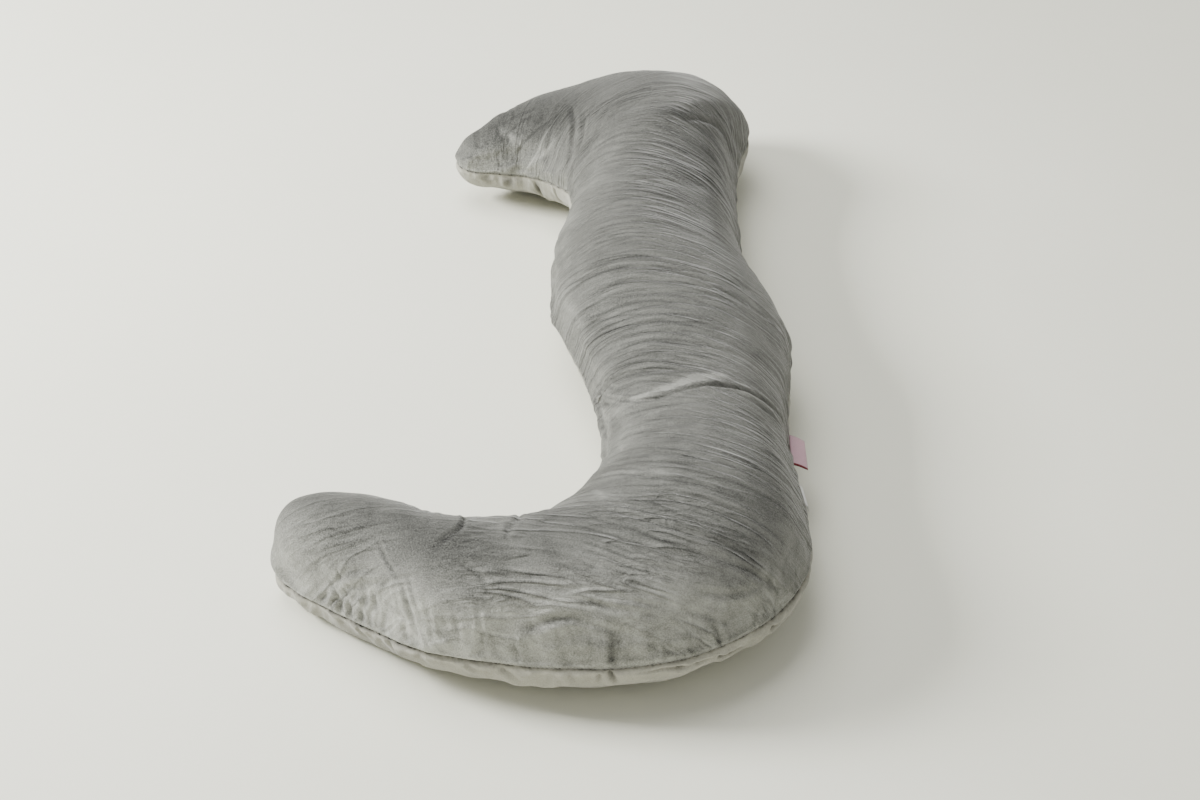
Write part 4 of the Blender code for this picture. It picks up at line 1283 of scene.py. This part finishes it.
class Finish:
    """A cloth material: a Principled surface, and short ways to add and wire nodes."""

    def __init__(self, name):
        self.material = bpy.data.materials.new(name)
        self.material.use_nodes = True
        self.tree = self.material.node_tree
        self.surface = self.tree.nodes["Principled BSDF"]

    def node(self, kind, settings=None, **inputs):
        """Adds a node: its settings first, then the values or links of its sockets."""
        made = self.tree.nodes.new(kind)
        for name, value in (settings or {}).items():
            setattr(made, name, value)
        for name, value in inputs.items():
            plug(made.inputs[name], value)
        return made

    def feed(self, **values):
        """Sets or links the surface's own sockets, with _ for a blank in a name."""
        for name, value in values.items():
            plug(self.surface.inputs[name.replace("_", " ")], value)

    def place(self):
        return Wire(self.node("ShaderNodeTexCoord").outputs["Object"])

    def cloth_map(self):
        return Wire(self.node("ShaderNodeUVMap", {"uv_map": "cloth"}).outputs[0])

    def attributes(self, *names):
        """What the mesh says at each of its points, by its names."""
        for name in names:
            yield Wire(self.node("ShaderNodeAttribute", {"attribute_name": name}).outputs["Fac"])

    def scaled(self, vector, along, across, shift=0.0):
        """Places on the cloth made finer each way, and moved along it."""
        node = self.node("ShaderNodeMapping", Vector=vector, Scale=(along, across, 1.0),
                         Location=(shift, 0.0, 0.0))
        return Wire(node.outputs[0])

    def noise(self, vector, scale, detail=2.0, roughness=0.5, distortion=0.0):
        node = self.node("ShaderNodeTexNoise", Vector=vector, Scale=scale, Detail=detail,
                         Roughness=roughness, Distortion=distortion)
        return Wire(node.outputs["Fac"])

    def laid_noise(self, cloth, along, across, *noise):
        """Noise that follows the cloth, with its own count of cells per metre each way."""
        return self.noise(self.scaled(cloth, along, across), 1.0, *noise)

    def lines(self, cloth, lines, shift=0.0):
        """Long thin lines that wander over the cloth: 1 on a line, 0 away from it."""
        spread = self.scaled(cloth, lines.along, lines.across, shift * lines.along)
        off = self.noise(spread, 1.0, 1.0, LINES_ROUGHNESS, lines.warp) - 0.5
        return (1.0 - off.math("ABSOLUTE", off) * lines.sharp).clamp()

    def patchy(self, cloth, along, across, low):
        """Uneven strength over the cloth, from 0 to 1."""
        return ((self.laid_noise(cloth, along, across, 1.0) - low) * PATCH_EDGE).clamp()

    def mix(self, factor, first, second):
        """Mixes two colours."""
        node = self.node("ShaderNodeMix", {"data_type": "RGBA"})
        for socket, value in ((node.inputs[0], factor), (node.inputs[6], first), (node.inputs[7], second)):
            plug(socket, value)
        return Wire(node.outputs[2])

    def scaled_colour(self, colour, factor):
        node = self.node("ShaderNodeVectorMath", {"operation": "SCALE"}, Scale=factor)
        node.inputs[0].default_value = tuple(colour)
        return Wire(node.outputs[0])

    def bump(self, height, distance):
        node = self.node("ShaderNodeBump", Height=height, Distance=distance, Strength=1.0)
        self.feed(Normal=Wire(node.outputs[0]))


def shade(colour, factor=1.0):
    """A colour made darker or paler, with its alpha."""
    return (*(part * factor for part in colour[:3]), 1.0)


def velvet_finish(colours):
    """Short-pile velvet: brushed nap in streaks and clouds, painted shade in the creases, painted highlight
    on the ridges, and painted light on the faces turned to the front.
    """
    finish = Finish("upper_velvet")
    place, cloth = finish.place(), finish.cloth_map()
    crease, hem, nap, tilt = finish.attributes("crease", "hem", "nap", "tilt")
    worn, rubbed, brushed, crumpled = finish.attributes("worn", "rubbed", "brushed", "crumpled")
    cloud, mottle, pile = (finish.noise(place, *noise) for noise in (CLOUD, MOTTLE, PILE))
    spots, streaks, hairs = (finish.laid_noise(cloth, *noise) for noise in (SPOTS, STREAKS, HAIRS))
    long_share, middle_share, crumple_share = (
        finish.patchy(cloth, *patch) for patch in (LONG_PATCHES, MIDDLE_PATCHES, CRUMPLE_PATCHES))
    streaked, crumply = [], []
    for shift in (0.0, LINE_LIGHT_OFFSET):
        lines = finish.lines(cloth, LONG_LINES, shift) * long_share
        lines = lines + finish.lines(cloth, MIDDLE_LINES, shift) * middle_share * MIDDLE_SHARE
        streaked.append(lines * brushed)
        lines = finish.lines(cloth, CRUMPLE_LINES, shift) * crumple_share
        lines = lines + finish.lines(cloth, SMALL_LINES, shift) * middle_share * SMALL_SHARE
        crumply.append(lines * crumpled)
    fine = finish.lines(cloth, FINE_LINES) * brushed
    # the lines' valleys, for their bump and their painted shade; the offset lines for their painted highlight
    valley = streaked[0] + crumply[0] * CRUMPLE_VALLEY
    light = streaked[1] * STREAKED_HIGHLIGHT + crumply[1] * CRUMPLED_HIGHLIGHT
    tone = cloud.about(CLOUD_TINT) + mottle.about(MOTTLE_TINT - brushed * MOTTLE_BRUSHED_OUT)
    tone = tone + pile.about(PILE_TINT)
    laid = spots.about(SPOTS_TINT) + streaks.about(STREAKS_TINT) + hairs.about(HAIRS_TINT)
    tone = tone + laid * brushed
    tone = tone + light - valley * VALLEY_SHADE - fine * FINE_SHADE
    # painted light and shade in the patches, painted highlight in the pale marks, both with nap
    tone = tone + rubbed * (hairs.about(RUB_AND_HIGHLIGHT_GRAIN) + 1.0) + worn * (mottle.about(WEAR_AND_LIGHT_GRAIN) + 1.0)
    # painted shade in the crease valleys, painted highlight on their shoulders
    crease_shading = (crease * VELVET_CREASE_SHADING).clamp(*VELVET_CREASE_SHADING_LIMITS)
    # painted light: paler where the velvet faces the front, with the pile's lean
    facing_light = nap.clamp() ** 2.0 * VELVET_NAP_AND_LIGHT_TINT + nap * VELVET_NAP_AND_LIGHT_LINEAR + VELVET_NAP_AND_LIGHT_BASE
    # painted highlight on small slopes turned to the front, painted shade on those turned away
    slope_shading = (tilt * VELVET_SLOPE_SHADING).clamp(*VELVET_SLOPE_SHADING_LIMITS)
    brightness = (tone * TONE_GAIN + crease_shading * TONE_GAIN + slope_shading + 1.0).clamp(*VELVET_LIMITS)
    # painted light on faces turned to the front, and the seam's painted shade and highlight
    brightness = brightness * facing_light * (hem + 1.0)
    finish.feed(Base_Color=finish.scaled_colour(colours.velvet, brightness),
                Roughness=VELVET_ROUGHNESS + cloud.about(UNEVEN_ROUGHNESS), **VELVET_SURFACE)
    laid = hairs.about(HAIRS_RELIEF) + streaks.about(STREAKS_RELIEF)
    height = pile.about(PILE_RELIEF) + laid * brushed
    finish.bump(height - valley * VALLEY_RELIEF - fine * FINE_RELIEF, CLOTH_RELIEF)
    return finish.material


def plush_finish(colours):
    """The lower panel's pale plush: finer, flatter, a little uneven in tone, with painted shade in its tucks
    and seam groove and painted light and shade along its length.
    """
    finish = Finish("lower_panel")
    crease, hem = finish.attributes("crease", "hem")
    place = finish.place()
    cloud, pile = (finish.noise(place, *noise) for noise in (PLUSH_CLOUD, PLUSH_PILE))
    ripple = finish.laid_noise(finish.cloth_map(), *PLUSH_RIPPLE)
    tone = cloud.about(PLUSH_CLOUD_TINT) + pile.about(PLUSH_PILE_TINT) + ripple.about(PLUSH_RIPPLE_TINT)
    # painted shade in the tucks' valleys; hem carries the seam's painted shade and highlight and the painted
    # light along the plush
    crease_shading = (crease * PLUSH_CREASE_SHADING).clamp(*PLUSH_CREASE_SHADING_LIMITS)
    brightness = (tone + crease_shading + 1.0).clamp(*PLUSH_LIMITS) * (hem + 1.0)
    finish.feed(Base_Color=finish.scaled_colour(colours.plush, brightness),
                Roughness=PLUSH_ROUGHNESS + cloud.about(PLUSH_UNEVEN_ROUGHNESS), **PLUSH_SURFACE)
    finish.bump(pile.about(PLUSH_PILE_RELIEF) + ripple.about(PLUSH_RIPPLE_RELIEF), CLOTH_RELIEF)
    return finish.material


def tape_finish(name, colour, hem):
    """Woven label tape: rows of tiny floats, with a dyed hem along one end."""
    finish = Finish(name)
    cloth = finish.cloth_map()
    split = finish.node("ShaderNodeSeparateXYZ", Vector=cloth)
    across, out = (Wire(socket) for socket in split.outputs[:2])
    row, pick = (way.math("SINE", way * TAPE_THREADS) for way in (across, out))
    weave = row * pick
    wear = finish.noise(cloth, *TAPE_WEAR)
    tone = (weave * TAPE_WEAVE_TINT + wear.about(TAPE_WEAR_TINT) + 0.5).clamp()
    body = finish.mix(tone, *(shade(colour, factor) for factor in TAPE_SHADES))
    at_hem = across.math("GREATER_THAN", across, TAPE_HEM)
    finish.feed(Base_Color=finish.mix(at_hem, body, shade(hem)), Sheen_Weight=0.1,
                Roughness=TAPE_ROUGHNESS + wear.about(UNEVEN_ROUGHNESS))
    finish.bump(weave, TAPE_RELIEF)
    return finish.material


def thread_finish(colours):
    """Twisted sewing thread, a shade lighter than the lower panel."""
    finish = Finish("seam_thread")
    twist = finish.noise(finish.place(), *THREAD_TWIST)
    finish.feed(Base_Color=finish.mix(twist, *(shade(colours.plush, factor) for factor in THREAD_SHADES)),
                Roughness=THREAD_ROUGHNESS + twist * THREAD_UNEVEN_ROUGHNESS)
    return finish.material


def floor_finish():
    """Pale painted floor with faint cloudy marks."""
    finish = Finish("pale_floor")
    place = finish.place()
    cloud, grain = (finish.noise(place, *noise) for noise in (FLOOR_CLOUD, FLOOR_GRAIN))
    tone = cloud.about(FLOOR_CLOUD_TINT) + grain.about(FLOOR_GRAIN_TINT) + 0.5
    finish.feed(Base_Color=finish.mix(tone.clamp(), FLOOR_DARK, FLOOR_PALE),
                Roughness=FLOOR_ROUGHNESS + cloud.about(UNEVEN_ROUGHNESS), Specular_IOR_Level=0.25)
    return finish.material


def length_property(name, description, default):
    """A size in metres, 0 or more."""
    return bpy.props.FloatProperty(name=name, description=description, default=default, min=0.0,
                                   subtype="DISTANCE", unit="LENGTH", precision=4)


class PillowSizes(bpy.types.PropertyGroup):
    """Sizes of the pillow's seam, folds, stitches and labels."""

    seam_swell: length_property("Seam swell", "How high the filling rises beside the seam", 0.0045)
    lump_height: length_property("Lump height", "How high the filling's slow unevenness stands", 0.0036)
    fold_depth: bpy.props.FloatProperty(
        name="Fold depth", description="Share of their depth that the placed folds are given",
        subtype="FACTOR", min=0.0, max=1.5, default=0.80)
    stitch_pitch: length_property("Stitch pitch", "From one stitch to the next", 0.0052)
    stitch_length: length_property("Stitch length", "Length of a stitch", 0.0033)
    stitch_radius: length_property("Stitch radius", "Half the thread's thickness", 0.0005)
    side_width: length_property("Side label width", "Side label's width along the seam", 0.062)
    side_reach: length_property("Side label reach", "How far the side label stands out", 0.0235)
    care_width: length_property("Care label width", "Care label's width along the seam", 0.038)
    care_reach: length_property("Care label reach", "How far the care label hangs out", 0.019)
    shift: bpy.props.FloatVectorProperty(
        name="Shift", description="What moves the lofted pillow onto its solid", subtype="TRANSLATION",
        unit="LENGTH", default=(0.0, 0.0, 0.0), precision=4)


def colour_property(name, description, default):
    """A colour that a user would change."""
    return bpy.props.FloatVectorProperty(name=name, description=description, default=default,
                                         subtype="COLOR")


class PillowColours(bpy.types.PropertyGroup):
    """Colours of the pillow's cloths, as linear values."""

    velvet: colour_property("Velvet", "Upper panel's mean colour", (0.0995, 0.1000, 0.0892))
    plush: colour_property("Plush", "Lower panel's mean colour", (0.287, 0.280, 0.235))
    label: colour_property("Side label", "Side label's colour", (0.560, 0.350, 0.400))
    care: colour_property("Care label", "Care label's colour", (0.760, 0.760, 0.740))


def pillow_shapes(sizes):
    """Both panels' forms, the upper one first: grid, tones and places on the cloth."""
    at = even_stations(STATIONS)
    settling = settled_cloth()
    shapes = []
    forms = (upper_panel_form, lower_panel_form)
    for form, across, field in zip(forms, (UPPER_ACROSS, LOWER_ACROSS), settling):
        shift = 0.0
        if field is not None:
            shift = averaged(finer(field, STATIONS, across), 1)
            shift[:, [0, -1]] = 0
        shapes.append(form(at, shift, sizes))
    return shapes


class PILLOW_OT_panels(bpy.types.Operator):
    """Adds the upper and the lower panel, filled and wrinkled"""

    bl_idname = "pillow.panels"
    bl_label = "Add Panels"

    def execute(self, context):
        sizes, colours = context.scene.pillow_sizes, context.scene.pillow_colours
        upper, lower = pillow_shapes(sizes)
        offset = pillow_offset(upper[0], lower[0])
        top = panel_piece("upper_panel", upper, offset, velvet_finish(colours), False)
        bottom = panel_piece("lower_panel", lower, offset, plush_finish(colours), True)
        for piece, slot in ((top, "upper_velvet"), (bottom, "lower_panel")):
            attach(piece, "root")
            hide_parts("pillow_body")
        sizes.shift = offset
        return {"FINISHED"}


class PILLOW_OT_labels(bpy.types.Operator):
    """Adds the two folded labels in the outer seam"""

    bl_idname = "pillow.labels"
    bl_label = "Add Labels"

    def execute(self, context):
        sizes, colours = context.scene.pillow_sizes, context.scene.pillow_colours
        for label, width, reach, colour, hem in (
                (SIDE_LABEL, sizes.side_width, sizes.side_reach, colours.label, SIDE_HEM),
                (CARE_LABEL, sizes.care_width, sizes.care_reach, colours.care, colours.care)):
            label = label._replace(width=round(width, 4), reach=round(reach, 4))
            piece = tape_piece(label, np.array(sizes.shift), tape_finish(label.name, colour, hem))
            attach(piece, "root")
            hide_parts(label.name)
            2 * label.reach
        return {"FINISHED"}


class PILLOW_OT_stitches(bpy.types.Operator):
    """Adds the stitches round the seam"""

    bl_idname = "pillow.stitches"
    bl_label = "Add Stitches"

    def execute(self, context):
        piece = stitch_piece(context.scene.pillow_sizes, thread_finish(context.scene.pillow_colours))
        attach(piece, "root")
        return {"FINISHED"}


class PILLOW_OT_stage(bpy.types.Operator):
    """Adds the floor, the soft lights and the camera"""

    bl_idname = "pillow.stage"
    bl_label = "Add Stage"

    def execute(self, context):
        bpy.ops.object.select_all(action="DESELECT")
        bpy.ops.mesh.primitive_plane_add(size=FLOOR_SIZE, location=(0.0, 0.0, 0.0))
        floor = context.object
        floor.name = "floor"
        floor.data.materials.append(floor_finish())
        for lamp in LAMPS:
            soft_light(lamp)
        camera_data = bpy.data.cameras.new("camera")
        camera_data.lens = FOCAL_LENGTH
        camera_data.sensor_width = SENSOR_WIDTH
        camera = new_object("camera", camera_data)
        camera.location = (*CAMERA_PLACE, CAMERA_HEIGHT)
        camera.rotation_euler = (math.radians(90.0 - CAMERA_PITCH), 0.0, 0.0)
        context.scene.camera = camera
        world = bpy.data.worlds.new("studio")
        world.use_nodes = True
        sky = world.node_tree.nodes["Background"]
        plug(sky.inputs["Color"], SKY_COLOUR)
        plug(sky.inputs["Strength"], SKY_STRENGTH)
        context.scene.world = world
        return {"FINISHED"}


def soft_light(lamp):
    """A square lamp that looks at the pillow's middle."""
    light = bpy.data.lights.new(lamp.name, "AREA")
    light.size = lamp.size
    light.energy = lamp.power
    thing = new_object(lamp.name, light)
    thing.location = lamp.place
    thing.rotation_euler = (-Vector(lamp.place)).to_track_quat("-Z", "Y").to_euler()


class PILLOW_PT_panel(bpy.types.Panel):
    """Lists the pillow's sizes, colours and operators"""

    bl_label = "Body Pillow"
    bl_idname = "PILLOW_PT_panel"
    bl_space_type = "VIEW_3D"
    bl_region_type = "UI"
    bl_category = "Body Pillow"

    def draw(self, context):
        for group in (context.scene.pillow_sizes, context.scene.pillow_colours):
            for name in group.__annotations__:
                self.layout.prop(group, name)
        for operator in CLASSES[2:-1]:
            self.layout.operator(operator.bl_idname)


CLASSES = (PillowSizes, PillowColours, PILLOW_OT_stage, PILLOW_OT_panels, PILLOW_OT_labels,
           PILLOW_OT_stitches, PILLOW_PT_panel)


def register():
    """Makes the groups, operators and panel known to Blender."""
    for entry in CLASSES:
        bpy.utils.register_class(entry)
    bpy.types.Scene.pillow_sizes = bpy.props.PointerProperty(type=PillowSizes)
    bpy.types.Scene.pillow_colours = bpy.props.PointerProperty(type=PillowColours)


def unregister():
    """Takes them out again."""
    del bpy.types.Scene.pillow_colours
    del bpy.types.Scene.pillow_sizes
    for entry in reversed(CLASSES):
        bpy.utils.unregister_class(entry)


def main():
    """Adds the stage and all pieces."""
    register()
    bpy.ops.pillow.stage()
    bpy.ops.pillow.panels()
    bpy.ops.pillow.labels()
    bpy.ops.pillow.stitches()


if __name__ == "__main__":
    main()
